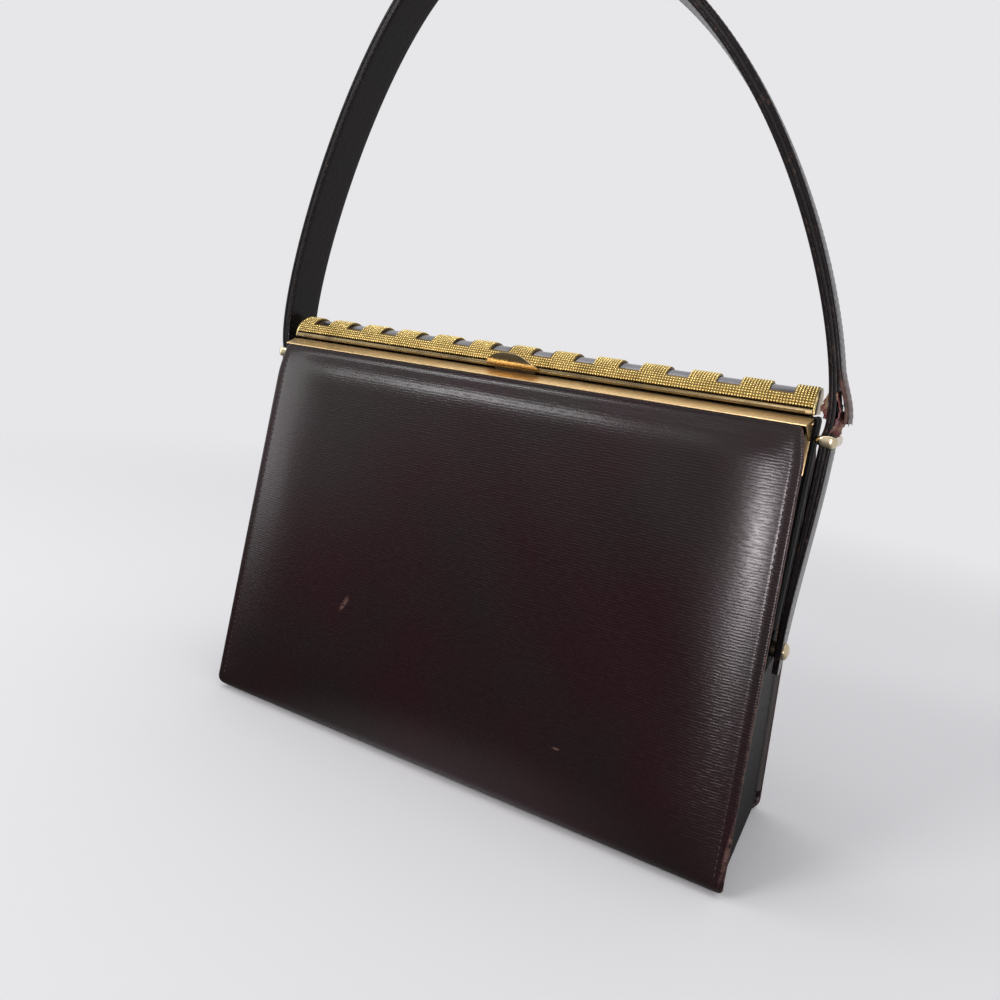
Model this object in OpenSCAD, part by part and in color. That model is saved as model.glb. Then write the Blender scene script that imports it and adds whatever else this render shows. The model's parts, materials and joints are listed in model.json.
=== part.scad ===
// Structured frame handbag with a lift-bar clasp and one stiff leather handle.
// Millimetres. +Z is up, -Y is the front, and the origin is the middle of the base.

/* [Body] */
// Width along the bottom edge
body_w = 240; // [210:1:270]
// Width at the mouth, before the shoulders draw in
mouth_w = 229; // [200:1:236]
// Height of the leather panels, up to the rails of the frame
body_h = 163; // [140:1:190]
// Depth along the bottom
body_d = 74; // [56:1:96]
// Depth at the mouth, over the leather
mouth_d = 33; // [31:1:40]
// Radius of the rounded bottom edges, front and back
bottom_r = 6; // [5:0.5:10]
// Radius of the bottom corners, seen from the front
corner_r = 4; // [1:0.5:8]
// Height of the shoulders, where the sides draw in under the frame
shoulder_h = 15; // [8:1:25]
// How far the shoulders draw in on each side
shoulder_in = 1.65; // [0.8:0.05:2.2]

/* [Leather and boards] */
// Thickness of the outer leather
leather_t = 1.4; // [1:0.1:1.8]
// Thickness of the stiffening boards
board_t = 1.6; // [1:0.1:2]
// Thickness of the lining
lining_t = 0.8; // [0.5:0.1:1.2]
// Glue gap between two layers
layer_gap = 0.05; // [0.05:0.05:0.1]
// How far the sides are set in from the panel edges
side_inset = 2; // [1:0.25:3]
// Height at which the base leather joins the front and the back
base_join_h = 8; // [7:0.5:14]
// Height at which the lower front ends and its flexing band starts
flex_low_h = 60; // [50:1:66]
// Height at which the flexing band ends and the upper front starts
flex_high_h = 112; // [108:1:125]
// Thickness of the gusset leather
gusset_t = 1; // [0.7:0.1:1.4]
// Distance that the gussets fold in from the arms of the frame
gusset_fold = 14; // [8:1:20]

/* [Frame] */
// Depth of the closed frame over both arms
frame_d = 19; // [17:0.5:22]
// Height of the rails above the leather
rail_h = 2.7; // [2.2:0.1:4]
// Thickness of the sheet brass
metal_t = 1.2; // [0.9:0.1:1.5]
// Height of the inner skirt of each rail
skirt_h = 5.2; // [4:0.2:8]
// Thickness of the arms
arm_t = 1.8; // [1.4:0.1:2.4]
// Thickness of the leather on the outside of the arms
cover_leather_t = 0.6; // [0.4:0.1:0.9]
// Clearance from the middle plane to each half of the frame
half_gap = 0.15; // [0.1:0.05:0.3]
// Height of the frame's hinge pins above the base
hinge_h = 81; // [78:1:86]
// Radius of the eye at the end of each arm
eye_r = 6.5; // [5.5:0.25:7.5]
// Diameter of the hinge pins
hinge_pin_d = 3; // [2.4:0.2:3.6]
// Radial clearance of a pin in its hole
running_fit = 0.05; // [0.02:0.01:0.08]
// Diameter of the domed stud heads
stud_d = 6.6; // [5.6:0.2:8]
// Height of the domed stud heads
stud_dome = 1.9; // [1.4:0.1:2.6]

/* [Strap tails and keepers] */
// Width of the strap
strap_w = 18.5; // [15:0.5:20]
// Thickness of the strap
strap_t = 4.1; // [3.6:0.1:4.8]
// Thickness of the strap at the studs
tail_t = 2.15; // [1.8:0.05:2.6]
// Gap between the covered arms and the strap
strap_gap = 2.35; // [1.8:0.05:3]
// Radius of the rounded tips of the tails
tip_r = 5.2; // [4.6:0.2:6.5]
// Distance from the top of the rails down to the middle of the keepers
keeper_drop = 7; // [6.8:0.1:9]
// Height of a keeper at its thickest
keeper_thick = 3.9; // [3:0.1:5]
// Wall of a keeper around the strap
keeper_wall = 1.5; // [1.2:0.1:2]
// Diameter of the rivet that holds a keeper
keeper_pin_d = 1.6; // [1.2:0.1:2]

/* [Handle] */
// Height of the handle's top above the rails, along its middle
handle_rise = 168.3; // [140:0.1:190]
// How far the top of the handle leans to the left
handle_lean = 36.7; // [0:0.1:40]
// Outward lean of the handle where it leaves the keepers, in degrees
handle_splay = 19.7; // [10:0.1:22]
// Pull of the left leg as it leaves its keeper
left_rise = 26.6; // [20:0.1:36]
// Pull of the right leg as it leaves its keeper
right_rise = 20.4; // [16:0.1:36]
// Pull of the left leg at the top
left_reach = 52.2; // [40:0.1:70]
// Pull of the right leg at the top
right_reach = 112; // [80:1:120]
// Thickness of the core between the two leathers of the handle
core_t = 1.3; // [1:0.1:1.8]

/* [Clasp bar] */
// Radius of the half-round cover
bar_r = 9.4; // [8.6:0.1:10.4]
// Length of the cover
bar_w = 226.4; // [200:0.1:227]
// Thickness of the sheet of the cover
cover_t = 0.8; // [0.6:0.1:1]
// Gap between the rails and the clasp bar
bar_gap = 1; // [0.8:0.1:1.4]
// Thickness of the base plate of the bar
plate_t = 1.8; // [1.6:0.1:2.4]
// Thickness of the end plates of the bar
end_t = 0.8; // [0.6:0.1:1]
// Number of windows in the cover
window_count = 12; // [8:1:12]
// Distance from one window to the next
window_pitch = 18.5; // [16:0.1:18.6]
// Width of each window
window_w = 8.3; // [6:0.1:10]
// Height of the window sills above the base plate
sill_h = 4.7; // [4:0.1:6]
// Thickness of the inlay behind the windows
inlay_t = 0.6; // [0.4:0.1:0.8]
// Width of the thumb tab
tab_w = 23.5; // [18:0.5:30]
// Inner radius of the curl of the thumb tab
tab_curl_r = 6.9; // [6.2:0.1:8]
// Rise of the thumb tab
tab_rise = 5.7; // [4.5:0.1:6]
// Thickness of the thumb tab
tab_t = 1; // [0.8:0.1:1.3]
// Width of the catch on the front rail
catch_w = 16; // [12:1:24]
// Height of the catch
catch_h = 1.6; // [1.4:0.1:1.8]

/* [Clasp hinge] */
// Distance from the middle plane to the hinge axis of the bar
knuckle_y = 11; // [10.9:0.1:12]
// Radius of the knuckles
knuckle_r = 1.4; // [1.2:0.1:1.5]
// Length of the middle knuckle of each hinge
knuckle_w = 6; // [4:0.5:9]
// Diameter of the hinge pins of the bar
clasp_pin_d = 1.2; // [1:0.1:1.4]
// Distance from one hinge of the bar to the next
clasp_hinge_pitch = 80; // [60:1:90]

/* [Hidden] */

leather_color = "#33201f";
board_color = "#9b8a6c";
lining_color = "#6b5142";
brass_color = "#c9a24a";
beaded_color = "#b8902f";
steel_color = "#6e727a";
dark_color = "#1b1416";

// A length that is longer than the part in any direction, for cutting
big = 600;
arc_steps = 8;
round_fn = 64;
// Overlap that fuses two shapes of one solid
fuse = 0.5;

lean = atan((body_d - mouth_d) / 2 / body_h);
board_in = leather_t + layer_gap;
lining_in = board_in + board_t + layer_gap;
inside_in = lining_in + lining_t;
board_inset = side_inset + leather_t + layer_gap;

frame_half = mouth_w / 2 - 0.1;
frame_half_d = frame_d / 2;
rail_low = body_h + layer_gap;
rail_top = body_h + rail_h;
lip_y = mouth_d / 2 - 0.3;
lip_h = 0.35;
eye_rise = eye_r + 2.5;
lap_gap = 0.03;
hinge_hole_r = hinge_pin_d / 2 + running_fit;
cover_out = frame_half + cover_leather_t;
side_top_h = hinge_h - eye_r - 0.5;

strap_in = cover_out + strap_gap;
strap_out = strap_in + strap_t;
strap_mid = strap_in + strap_t / 2;
tail_out = strap_in + tail_t;
keeper_h = rail_top - keeper_drop;
taper_top_h = keeper_h - 8.7;
keeper_slot = 0.15;
keeper_pin_y = frame_half_d / 2;
// The strap stands straight inside its keeper and starts to curve just above it
leg_start_h = keeper_h + 1.6;
flex_clear = 0.3;
handle_turn = 40;
handle_axis_h = keeper_h + keeper_thick / 2 + strap_w / 2 + 2 * flex_clear;
leg_steps = 22;

plate_low = rail_top + bar_gap;
plate_top = plate_low + plate_t;
bar_axis_h = plate_low;
plate_half_d = bar_r;
plate_chamfer = 0.3;
knuckle_h = plate_low + plate_t / 2 - 0.2;
knuckle_gap = 0.2;
side_knuckle_w = 4;
clasp_hole_r = clasp_pin_d / 2 + running_fit;
inlay_gap = 0.15;
catch_front = plate_half_d - plate_t;
catch_d = 2.2;
pocket_clear = 0.2;
tab_half = tab_w / 2;
tab_root = 0.6;

// Half the depth of the body at a height
function half_d(z) = body_d / 2 - z * tan(lean);

// Half the width of the body at a height, set in by an inset
function half_w(z, inset) =
    let(up = max(0, z - (body_h - shoulder_h)) / shoulder_h)
    body_w / 2 - z * (body_w - mouth_w) / 2 / body_h - shoulder_in * up * up - inset;

function reversed(points) = [for (i = [len(points) - 1:-1:0]) points[i]];

// The rounded bottom edge of one layer, from the wall down to the flat base
function bottom_arc(depth, side) = [
    for (i = [0:arc_steps])
        let(a = -lean + i * (90 + lean) / arc_steps, r = bottom_r - depth)
        [
            side * (half_d(bottom_r) - bottom_r / cos(lean) + r * cos(a)),
            bottom_r - r * sin(a)
        ]
];

// The wrap of one layer from the front mouth, under the base, to the back mouth
function wrap_path(depth) =
    let(top_z = body_h + 5, top_y = half_d(top_z) - depth / cos(lean))
    concat(
        [[-top_y, top_z]],
        bottom_arc(depth, -1),
        reversed(bottom_arc(depth, 1)),
        [[top_y, top_z]]
    );

// One side of the front outline, from the bottom corner up past the shoulder
function outline_side(inset) =
    let(r = max(0.5, corner_r - inset))
    concat(
        [for (i = [0:4]) [half_w(r, inset) - r + r * sin(i * 22.5), r - r * cos(i * 22.5)]],
        [for (i = [0:5]) let(z = body_h - shoulder_h + i * shoulder_h / 5) [half_w(z, inset), z]]
    );

function mirrored_points(points) = [for (p = points) [-p[0], p[1]]];

// A cubic curve through four control points
function cubic(p, t) =
    pow(1 - t, 3) * p[0] + 3 * t * pow(1 - t, 2) * p[1]
    + 3 * t * t * (1 - t) * p[2] + pow(t, 3) * p[3];

// Its direction, as a unit vector
function cubic_dir(p, t) =
    let(d = pow(1 - t, 2) * (p[1] - p[0]) + 2 * t * (1 - t) * (p[2] - p[1])
        + t * t * (p[3] - p[2]))
    d / norm(d);

handle_apex = [-handle_lean, rail_top + handle_rise];
left_leg = [
    [-strap_mid, leg_start_h],
    [-strap_mid - left_rise * sin(handle_splay), leg_start_h + left_rise * cos(handle_splay)],
    handle_apex - [left_reach, 0],
    handle_apex
];
right_leg = [
    [strap_mid, leg_start_h],
    [strap_mid + right_rise * sin(handle_splay), leg_start_h + right_rise * cos(handle_splay)],
    handle_apex + [right_reach, 0],
    handle_apex
];

// A point of a leg, moved off its middle line. Outward is positive on both legs.
function leg_point(leg, t, off) =
    let(d = cubic_dir(leg, t), side = sign(leg[0][0]))
    cubic(leg, t) + off * side * [d[1], -d[0]];

function leg_edge(leg, off, t_end) = [
    for (i = [0:leg_steps]) leg_point(leg, t_end * i / leg_steps, off)
];

// The whole handle's edge at one offset, from the left keeper to the right one
function handle_edge(off) = concat(
    leg_edge(left_leg, off, 1),
    [for (i = [leg_steps - 1:-1:0]) leg_point(right_leg, i / leg_steps, off)]
);

// Turns a drawing in Y and Z into a bar along X, from x0 to x1
module along_x(x0, x1) {
    translate([x0, 0, 0]) rotate([90, 0, 90]) linear_extrude(height = x1 - x0) children();
}

// Turns a drawing in X and Z into a plate along Y, centred on the middle plane
module along_y(depth) {
    rotate([90, 0, 0]) linear_extrude(height = depth, center = true) children();
}

// A pin or a hole along X, from x0 to x1
module rod_x(r, x0, x1, y, z) {
    translate([x0, y, z]) rotate([0, 90, 0]) cylinder(r = r, h = x1 - x0, $fn = round_fn);
}

// Everything between two heights, on the front (-1), on the back (1) or on both (0)
module zone(z0, z1, side) {
    y0 = side > 0 ? 0 : -big;
    y1 = side < 0 ? 0 : big;
    translate([-big, y0, z0]) cube([2 * big, y1 - y0, z1 - z0]);
}

module outline(inset) {
    side = outline_side(inset);
    along_y(big) polygon(concat(side, mirrored_points(reversed(side))));
}

// A layer of the body's wrap, between two depths under the outer face
module wrap_layer(out_in, in_in) {
    along_x(-body_w, body_w) polygon(concat(wrap_path(out_in), reversed(wrap_path(in_in))));
}

module layer_piece(out_in, thick, inset, z0, z1, side) {
    intersection() {
        wrap_layer(out_in, out_in + thick);
        outline(inset);
        zone(z0, z1, side);
    }
}

module leather_piece(z0, z1, side) {
    color(leather_color) layer_piece(0, leather_t, 0, z0, z1, side);
}

module board_piece(z0, z1, side) {
    color(board_color) layer_piece(board_in, board_t, board_inset, z0, z1, side);
}

module lining_piece(z0, z1, side) {
    color(lining_color) layer_piece(lining_in, lining_t, board_inset, z0, z1, side);
}

module back_leather() {
    leather_piece(base_join_h, body_h, 1);
}

module base_leather() {
    leather_piece(0, base_join_h, 0);
}

module front_lower_leather() {
    leather_piece(base_join_h, flex_low_h, -1);
}

module front_flex_leather() {
    leather_piece(flex_low_h, flex_high_h, -1);
}

module front_upper_leather() {
    leather_piece(flex_high_h, body_h, -1);
}

module back_board() {
    board_piece(base_join_h, body_h, 1);
}

module base_board() {
    board_piece(0, base_join_h, 0);
}

module front_lower_board() {
    board_piece(base_join_h, flex_low_h, -1);
}

module front_upper_board() {
    board_piece(flex_high_h, body_h, -1);
}

module back_lining() {
    lining_piece(base_join_h, body_h, 1);
}

module base_lining() {
    lining_piece(0, base_join_h, 0);
}

module front_lower_lining() {
    lining_piece(base_join_h, flex_low_h, -1);
}

module front_upper_lining() {
    lining_piece(flex_high_h, body_h, -1);
}

// The flat lower side, sewn between the edges of the front, the base and the back
module side_leather(side) {
    color(leather_color) intersection() {
        along_x(-body_w, body_w) polygon(wrap_path(board_in));
        difference() {
            outline(side_inset);
            outline(side_inset + leather_t);
        }
        zone(0, side_top_h, 0);
        translate([side > 0 ? 0 : -big, -big, 0]) cube([big, 2 * big, big]);
    }
}

module side_leather_left() {
    side_leather(-1);
}

module side_leather_right() {
    side_leather(1);
}

// A gusset: one sheet with a fold down its middle, in three tiers from the hinge upwards
module gusset(side) {
    flat_x = half_w(side_top_h, side_inset + leather_t) - layer_gap - 0.3;
    arm_x = frame_half - arm_t - 1.4;
    heights = [side_top_h - 8, side_top_h, side_top_h + 30, rail_top - skirt_h - 1.5];
    folds = [flat_x, arm_x, arm_x - gusset_fold, arm_x - gusset_fold];
    edges = [flat_x, flat_x, arm_x, arm_x];
    edge_y = [for (z = heights) half_d(z) - inside_in / cos(lean) - 0.2];
    outer = [
        for (i = [0:3]) each [
            [side * edges[i], -edge_y[i], heights[i]],
            [side * folds[i], 0, heights[i]],
            [side * edges[i], edge_y[i], heights[i]]
        ]
    ];
    inner = [for (p = outer) p - [side * gusset_t, 0, 0]];
    quads = concat(
        [for (i = [0:2]) for (j = [0:1]) let(k = 3 * i + j) [k, k + 3, k + 4, k + 1]],
        [for (i = [0:2]) for (j = [0:1]) let(k = 12 + 3 * i + j) [k + 1, k + 4, k + 3, k]],
        [for (i = [0:2]) let(k = 3 * i) [k + 12, k + 15, k + 3, k]],
        [for (i = [0:2]) let(k = 3 * i + 2) [k, k + 3, k + 15, k + 12]],
        [for (j = [0:1]) [j, j + 1, j + 13, j + 12]],
        [for (j = [9:10]) [j + 12, j + 13, j + 1, j]]
    );
    triangles = [for (q = quads) each [[q[0], q[1], q[2]], [q[0], q[2], q[3]]]];
    color(dark_color)
        polyhedron(points = concat(outer, inner), faces = side > 0 ? triangles : reversed_faces(triangles));
}

function reversed_faces(faces) = [for (f = faces) reversed(f)];

module gusset_left() {
    gusset(-1);
}

module gusset_right() {
    gusset(1);
}

// The rail's section on the front half: a bevelled face, a flat top and a skirt
module rail_section() {
    polygon([
        [-lip_y, rail_low],
        [-lip_y, rail_low + lip_h],
        [-frame_half_d, rail_top],
        [-half_gap, rail_top],
        [-half_gap, rail_top - skirt_h],
        [-half_gap - metal_t, rail_top - skirt_h],
        [-half_gap - metal_t, rail_top - metal_t],
        [-frame_half_d + 0.3, rail_top - metal_t],
        [-lip_y + 3, rail_low]
    ]);
}

// Cuts the bevel on the sides of the frame, in front of the arms
module side_bevel_cut() {
    bevel = atan(1.4 / (lip_y - frame_half_d));
    translate([frame_half, -frame_half_d, rail_low - 20])
        rotate([0, 0, -bevel])
            translate([0, -20, 0]) cube([5, 20, 40]);
}

// The short brass strip beside the shoulder of the leather, under each corner of the rail
module corner_strip() {
    intersection() {
        difference() {
            translate([frame_half - 3, -lip_y + 0.6, body_h - 5])
                cube([3, lip_y - frame_half_d + 0.6, 5 + fuse]);
            outline(-0.15);
        }
        translate([0, -big, body_h - 5]) cube([frame_half, big, 5 + fuse]);
    }
}

// One arm of the front half, with its eye lapped to the inside or to the outside
module arm(outside) {
    x0 = frame_half - arm_t;
    lap = arm_t / 2 - lap_gap;
    lap_x = outside ? frame_half - lap : x0;
    neck_h = hinge_h + eye_rise;
    difference() {
        union() {
            translate([x0, -frame_half_d, neck_h])
                cube([arm_t, frame_half_d - half_gap, rail_top - neck_h]);
            rod_x(eye_r, lap_x, lap_x + lap, 0, hinge_h);
            translate([lap_x, -eye_r, hinge_h]) cube([lap, eye_r - half_gap, eye_rise + fuse]);
        }
        rod_x(hinge_hole_r, x0 - 1, frame_half + 1, 0, hinge_h);
    }
}

module half_frame(outside) {
    difference() {
        union() {
            along_x(-frame_half, frame_half) rail_section();
            for (side = [0, 1]) mirror([side, 0, 0]) {
                arm(outside);
                corner_strip();
            }
        }
        for (side = [0, 1]) mirror([side, 0, 0]) side_bevel_cut();
    }
}

module front_frame() {
    color(brass_color) half_frame(false);
}

// Places copies at the hinges of the clasp bar
module at_clasp_hinges() {
    for (i = [-1:1]) translate([i * clasp_hinge_pitch, 0, 0]) children();
}

module rear_knuckle() {
    web_d = 2 * knuckle_r - 0.15;
    rod_x(knuckle_r, -knuckle_w / 2, knuckle_w / 2, knuckle_y, knuckle_h);
    translate([-knuckle_w / 2, knuckle_y - web_d / 2, rail_top - metal_t])
        cube([knuckle_w, web_d, knuckle_h - rail_top + metal_t]);
}

module rear_frame() {
    color(brass_color) difference() {
        union() {
            mirror([0, 1, 0]) half_frame(true);
            at_clasp_hinges() rear_knuckle();
        }
        at_clasp_hinges() rod_x(clasp_hole_r, -knuckle_w, knuckle_w, knuckle_y, knuckle_h);
        keeper_pin_holes();
    }
}

module keeper_pin_holes() {
    for (side = [0, 1]) mirror([side, 0, 0])
        rod_x(keeper_pin_d / 2 + running_fit, frame_half - arm_t - 1, cover_out + 1,
            keeper_pin_y, keeper_h);
}

// Leather on the outside of one pair of arms
module arm_cover(y_side) {
    low = hinge_h + eye_rise;
    y0 = y_side > 0 ? half_gap : -frame_half_d;
    for (side = [0, 1]) mirror([side, 0, 0])
        translate([frame_half, y0, low])
            cube([cover_leather_t, frame_half_d - half_gap, rail_top - low]);
}

module rear_arm_covers() {
    color(dark_color) difference() {
        arm_cover(1);
        keeper_pin_holes();
    }
}

module front_arm_covers() {
    color(dark_color) arm_cover(-1);
}

// The pin that joins both arms and the strap's tail, with a domed head outside
module hinge_stud() {
    head_x = frame_half - arm_t - running_fit;
    dome_x = tail_out + layer_gap;
    dome_r = (pow(stud_d / 2, 2) + pow(stud_dome, 2)) / (2 * stud_dome);
    translate([0, 0, hinge_h]) rotate([0, 90, 0]) rotate_extrude($fn = round_fn) polygon(concat(
        [
            [0, head_x - 0.9], [hinge_pin_d, head_x - 0.9], [hinge_pin_d, head_x],
            [hinge_pin_d / 2, head_x], [hinge_pin_d / 2, dome_x], [stud_d / 2, dome_x]
        ],
        [
            for (i = [1:3]) let(x = dome_x + stud_dome * i / 4)
                [sqrt(pow(dome_r, 2) - pow(x - dome_x - stud_dome + dome_r, 2)), x]
        ],
        [[0, dome_x + stud_dome]]
    ));
}

module hinge_studs() {
    color(brass_color) for (side = [0, 1]) mirror([side, 0, 0]) hinge_stud();
}

module hinge_spacers() {
    color(brass_color) for (side = [0, 1]) mirror([side, 0, 0]) difference() {
        rod_x(hinge_pin_d, frame_half + layer_gap, strap_in - layer_gap, 0, hinge_h);
        rod_x(hinge_hole_r, frame_half, strap_in, 0, hinge_h);
    }
}

// The tail's outline from the side: a rounded tip, a taper, and a hollow for the handle
module tail_outline(x0, x1) {
    tip_h = hinge_h - 4;
    hollow_r = strap_w / 2 + flex_clear;
    turn = [-sin(handle_turn), cos(handle_turn)];
    low = [hollow_r * cos(handle_turn), -hollow_r * sin(handle_turn)];
    reach = (strap_w / 2 - low[0]) / sin(handle_turn);
    shoulder_z = handle_axis_h + low[1] + reach * cos(handle_turn);
    along_x(x0, x1) polygon(concat(
        [for (i = [0:12]) [tip_r * cos(180 + 15 * i), tip_h + tip_r * sin(180 + 15 * i)]],
        [[strap_w / 2, tip_h + 28], [strap_w / 2, shoulder_z]],
        [
            for (i = [0:10]) let(a = -handle_turn - i * (180 - 2 * handle_turn) / 10)
                [hollow_r * cos(a), handle_axis_h + hollow_r * sin(a)]
        ],
        [[-strap_w / 2, shoulder_z], [-strap_w / 2, tip_h + 28]]
    ));
}

// A strap tail seen from the front, from its tip to the keeper and along the leg
module tail_profile(leg) {
    side = sign(leg[0][0]);
    t_end = 0.14;
    polygon(concat(
        [
            [side * strap_in, hinge_h - 4 - tip_r - 1],
            [side * strap_in, leg_start_h]
        ],
        leg_edge(leg, -strap_t / 2, t_end),
        reversed(leg_edge(leg, strap_t / 2, t_end)),
        [
            [side * strap_out, leg_start_h - 2],
            [side * strap_out, taper_top_h],
            [side * tail_out, hinge_h + stud_d],
            [side * tail_out, hinge_h - 4 - tip_r - 1]
        ]
    ));
}

module strap_tail(leg) {
    side = sign(leg[0][0]);
    color(leather_color) difference() {
        intersection() {
            along_y(2 * strap_w) tail_profile(leg);
            tail_outline(-big / 2, big / 2);
        }
        rod_x(hinge_hole_r, -big / 2, big / 2, 0, hinge_h);
    }
}

module strap_tail_left() {
    strap_tail(left_leg);
}

module strap_tail_right() {
    strap_tail(right_leg);
}

// A lens-shaped brass band round the strap, riveted to the rear arm
module keeper() {
    slot_x = strap_t / 2 + keeper_slot;
    slot_y = strap_w / 2 + keeper_slot;
    out_x = slot_x + keeper_wall;
    out_y = slot_y + keeper_wall;
    lens_w = out_x + 0.2;
    lens_r = (pow(lens_w, 2) + pow(keeper_thick / 2, 2)) / keeper_thick;
    lens_off = lens_r - keeper_thick / 2;
    difference() {
        intersection() {
            for_lens(lens_r, lens_off, 2 * out_y);
            translate([strap_mid, 0, keeper_h]) keeper_plan(out_x, out_y);
        }
        translate([strap_mid - slot_x, -slot_y, keeper_h - big / 2])
            cube([2 * slot_x, 2 * slot_y, big]);
    }
    rod_x(keeper_pin_d / 2, frame_half - arm_t, cover_out + fuse, keeper_pin_y, keeper_h);
    rod_x(keeper_pin_d / 2 + 0.4, cover_out + layer_gap, strap_mid - slot_x - 0.4,
        keeper_pin_y, keeper_h);
}

module for_lens(r, off, depth) {
    intersection() {
        translate([strap_mid, 0, keeper_h - off]) rotate([90, 0, 0])
            cylinder(r = r, h = depth, center = true, $fn = 96);
        translate([strap_mid, 0, keeper_h + off]) rotate([90, 0, 0])
            cylinder(r = r, h = depth, center = true, $fn = 96);
    }
}

module keeper_plan(out_x, out_y) {
    r = keeper_wall;
    union() {
        cube([2 * out_x, 2 * (out_y - r), keeper_thick], center = true);
        cube([2 * (out_x - r), 2 * out_y, keeper_thick], center = true);
        for (sx = [-1, 1]) for (sy = [-1, 1])
            translate([sx * (out_x - r), sy * (out_y - r), 0])
                cylinder(r = r, h = keeper_thick, center = true, $fn = round_fn);
    }
}

module keeper_left() {
    color(brass_color) mirror([1, 0, 0]) keeper();
}

module keeper_right() {
    color(brass_color) keeper();
}

// One layer of the handle, between two offsets from its middle line
module handle_layer(off0, off1) {
    difference() {
        along_y(strap_w) polygon(concat(handle_edge(off0), reversed(handle_edge(off1))));
        difference() {
            translate([-big / 2, -strap_w, 0]) cube([big, 2 * strap_w, handle_axis_h]);
            rod_x(strap_w / 2, -big / 2, big / 2, 0, handle_axis_h);
        }
    }
}

module handle_outer_leather() {
    color(leather_color) handle_layer(core_t / 2 + layer_gap, strap_t / 2);
}

module handle_core() {
    color(dark_color) handle_layer(-core_t / 2, core_t / 2);
}

module handle_inner_leather() {
    color(leather_color) handle_layer(-strap_t / 2, -core_t / 2 - layer_gap);
}

module side_knuckle(x0) {
    rod_x(knuckle_r, x0, x0 + side_knuckle_w, knuckle_y, knuckle_h);
    translate([x0, plate_half_d - 1, knuckle_h - 0.5])
        cube([side_knuckle_w, knuckle_y - plate_half_d + 1, plate_top - knuckle_h + 0.5]);
}

module bar_plate() {
    color(brass_color) difference() {
        union() {
            along_x(-bar_w / 2, bar_w / 2) polygon([
                [-plate_half_d + plate_chamfer, plate_low],
                [plate_half_d - plate_chamfer, plate_low],
                [plate_half_d, plate_low + plate_chamfer],
                [plate_half_d, plate_top],
                [-plate_half_d, plate_top],
                [-plate_half_d, plate_low + plate_chamfer]
            ]);
            at_clasp_hinges() {
                side_knuckle(knuckle_w / 2 + knuckle_gap);
                side_knuckle(-knuckle_w / 2 - knuckle_gap - side_knuckle_w);
            }
        }
        at_clasp_hinges() {
            rod_x(clasp_hole_r, -knuckle_w * 2, knuckle_w * 2, knuckle_y, knuckle_h);
            translate([-knuckle_w / 2 - knuckle_gap, plate_half_d - 0.3, plate_low - 1])
                cube([knuckle_w + 2 * knuckle_gap, 3, plate_t + 2]);
        }
        translate([
            -catch_w / 2 - pocket_clear,
            -catch_front - pocket_clear,
            plate_low - 1
        ]) cube([
            catch_w + 2 * pocket_clear,
            catch_d + 3,
            1 + catch_h - bar_gap + pocket_clear
        ]);
    }
}

// The half-round cover, open below, with its row of windows
module bar_cover() {
    first = -(window_count - 1) / 2 * window_pitch;
    color(beaded_color) difference() {
        intersection() {
            difference() {
                rod_x(bar_r, -bar_w / 2, bar_w / 2, 0, bar_axis_h);
                rod_x(bar_r - cover_t, -bar_w / 2 - 1, bar_w / 2 + 1, 0, bar_axis_h);
            }
            zone(plate_top, plate_top + bar_r, 0);
        }
        for (i = [0:window_count - 1])
            translate([first + i * window_pitch - window_w / 2, -bar_r, plate_top + sill_h])
                cube([window_w, 2 * bar_r, bar_r]);
    }
}

module bar_inlay() {
    out_r = bar_r - cover_t - inlay_gap;
    half = bar_w / 2 - 0.5;
    color(steel_color) intersection() {
        difference() {
            rod_x(out_r, -half, half, 0, bar_axis_h);
            rod_x(out_r - inlay_t, -half - 1, half + 1, 0, bar_axis_h);
        }
        zone(plate_top + sill_h - 1.2, plate_top + bar_r, 0);
    }
}

module bar_ends() {
    color(brass_color) for (side = [0, 1]) mirror([side, 0, 0]) intersection() {
        rod_x(bar_r, bar_w / 2 + layer_gap, bar_w / 2 + layer_gap + end_t, 0, bar_axis_h);
        zone(plate_low, plate_top + bar_r, 0);
    }
}

// A half-moon lip, curled forwards and up from the front edge of the plate
module thumb_tab() {
    root_h = plate_low + tab_root;
    curl_h = root_h + tab_t + tab_curl_r;
    moon_r = (pow(tab_half, 2) + pow(tab_rise, 2)) / (2 * tab_rise);
    color(brass_color) intersection() {
        translate([-tab_half, -plate_half_d, curl_h]) rotate([180, 90, 0])
            rotate_extrude(angle = 90, $fn = round_fn)
                translate([tab_curl_r, -tab_w]) square([tab_t, tab_w]);
        translate([0, -plate_half_d, root_h + tab_rise - moon_r]) rotate([90, 0, 0])
            cylinder(r = moon_r, h = 3 * tab_curl_r, center = true, $fn = 128);
    }
}

// The lip under the bar that holds the catch
module bar_latch() {
    color(steel_color) translate([-catch_w / 2 - 1, -plate_half_d + plate_chamfer, plate_low - 0.8])
        cube([catch_w + 2, plate_t - plate_chamfer - pocket_clear - 0.1, 0.8]);
}

// The catch that stands on the front rail
module catch_block() {
    color(steel_color) translate([-catch_w / 2, -catch_front, rail_top])
        cube([catch_w, catch_d, catch_h]);
}

module clasp_pins() {
    half = knuckle_w / 2 + knuckle_gap + side_knuckle_w;
    color(brass_color) at_clasp_hinges() rod_x(clasp_pin_d / 2, -half, half, knuckle_y, knuckle_h);
}

back_leather();
base_leather();
front_lower_leather();
front_flex_leather();
front_upper_leather();
back_board();
base_board();
front_lower_board();
front_upper_board();
back_lining();
base_lining();
front_lower_lining();
front_upper_lining();
side_leather_left();
side_leather_right();
gusset_left();
gusset_right();
rear_frame();
front_frame();
rear_arm_covers();
front_arm_covers();
hinge_studs();
hinge_spacers();
strap_tail_left();
strap_tail_right();
keeper_left();
keeper_right();
handle_outer_leather();
handle_core();
handle_inner_leather();
bar_plate();
bar_cover();
bar_inlay();
bar_ends();
thumb_tab();
bar_latch();
catch_block();
clasp_pins();
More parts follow.
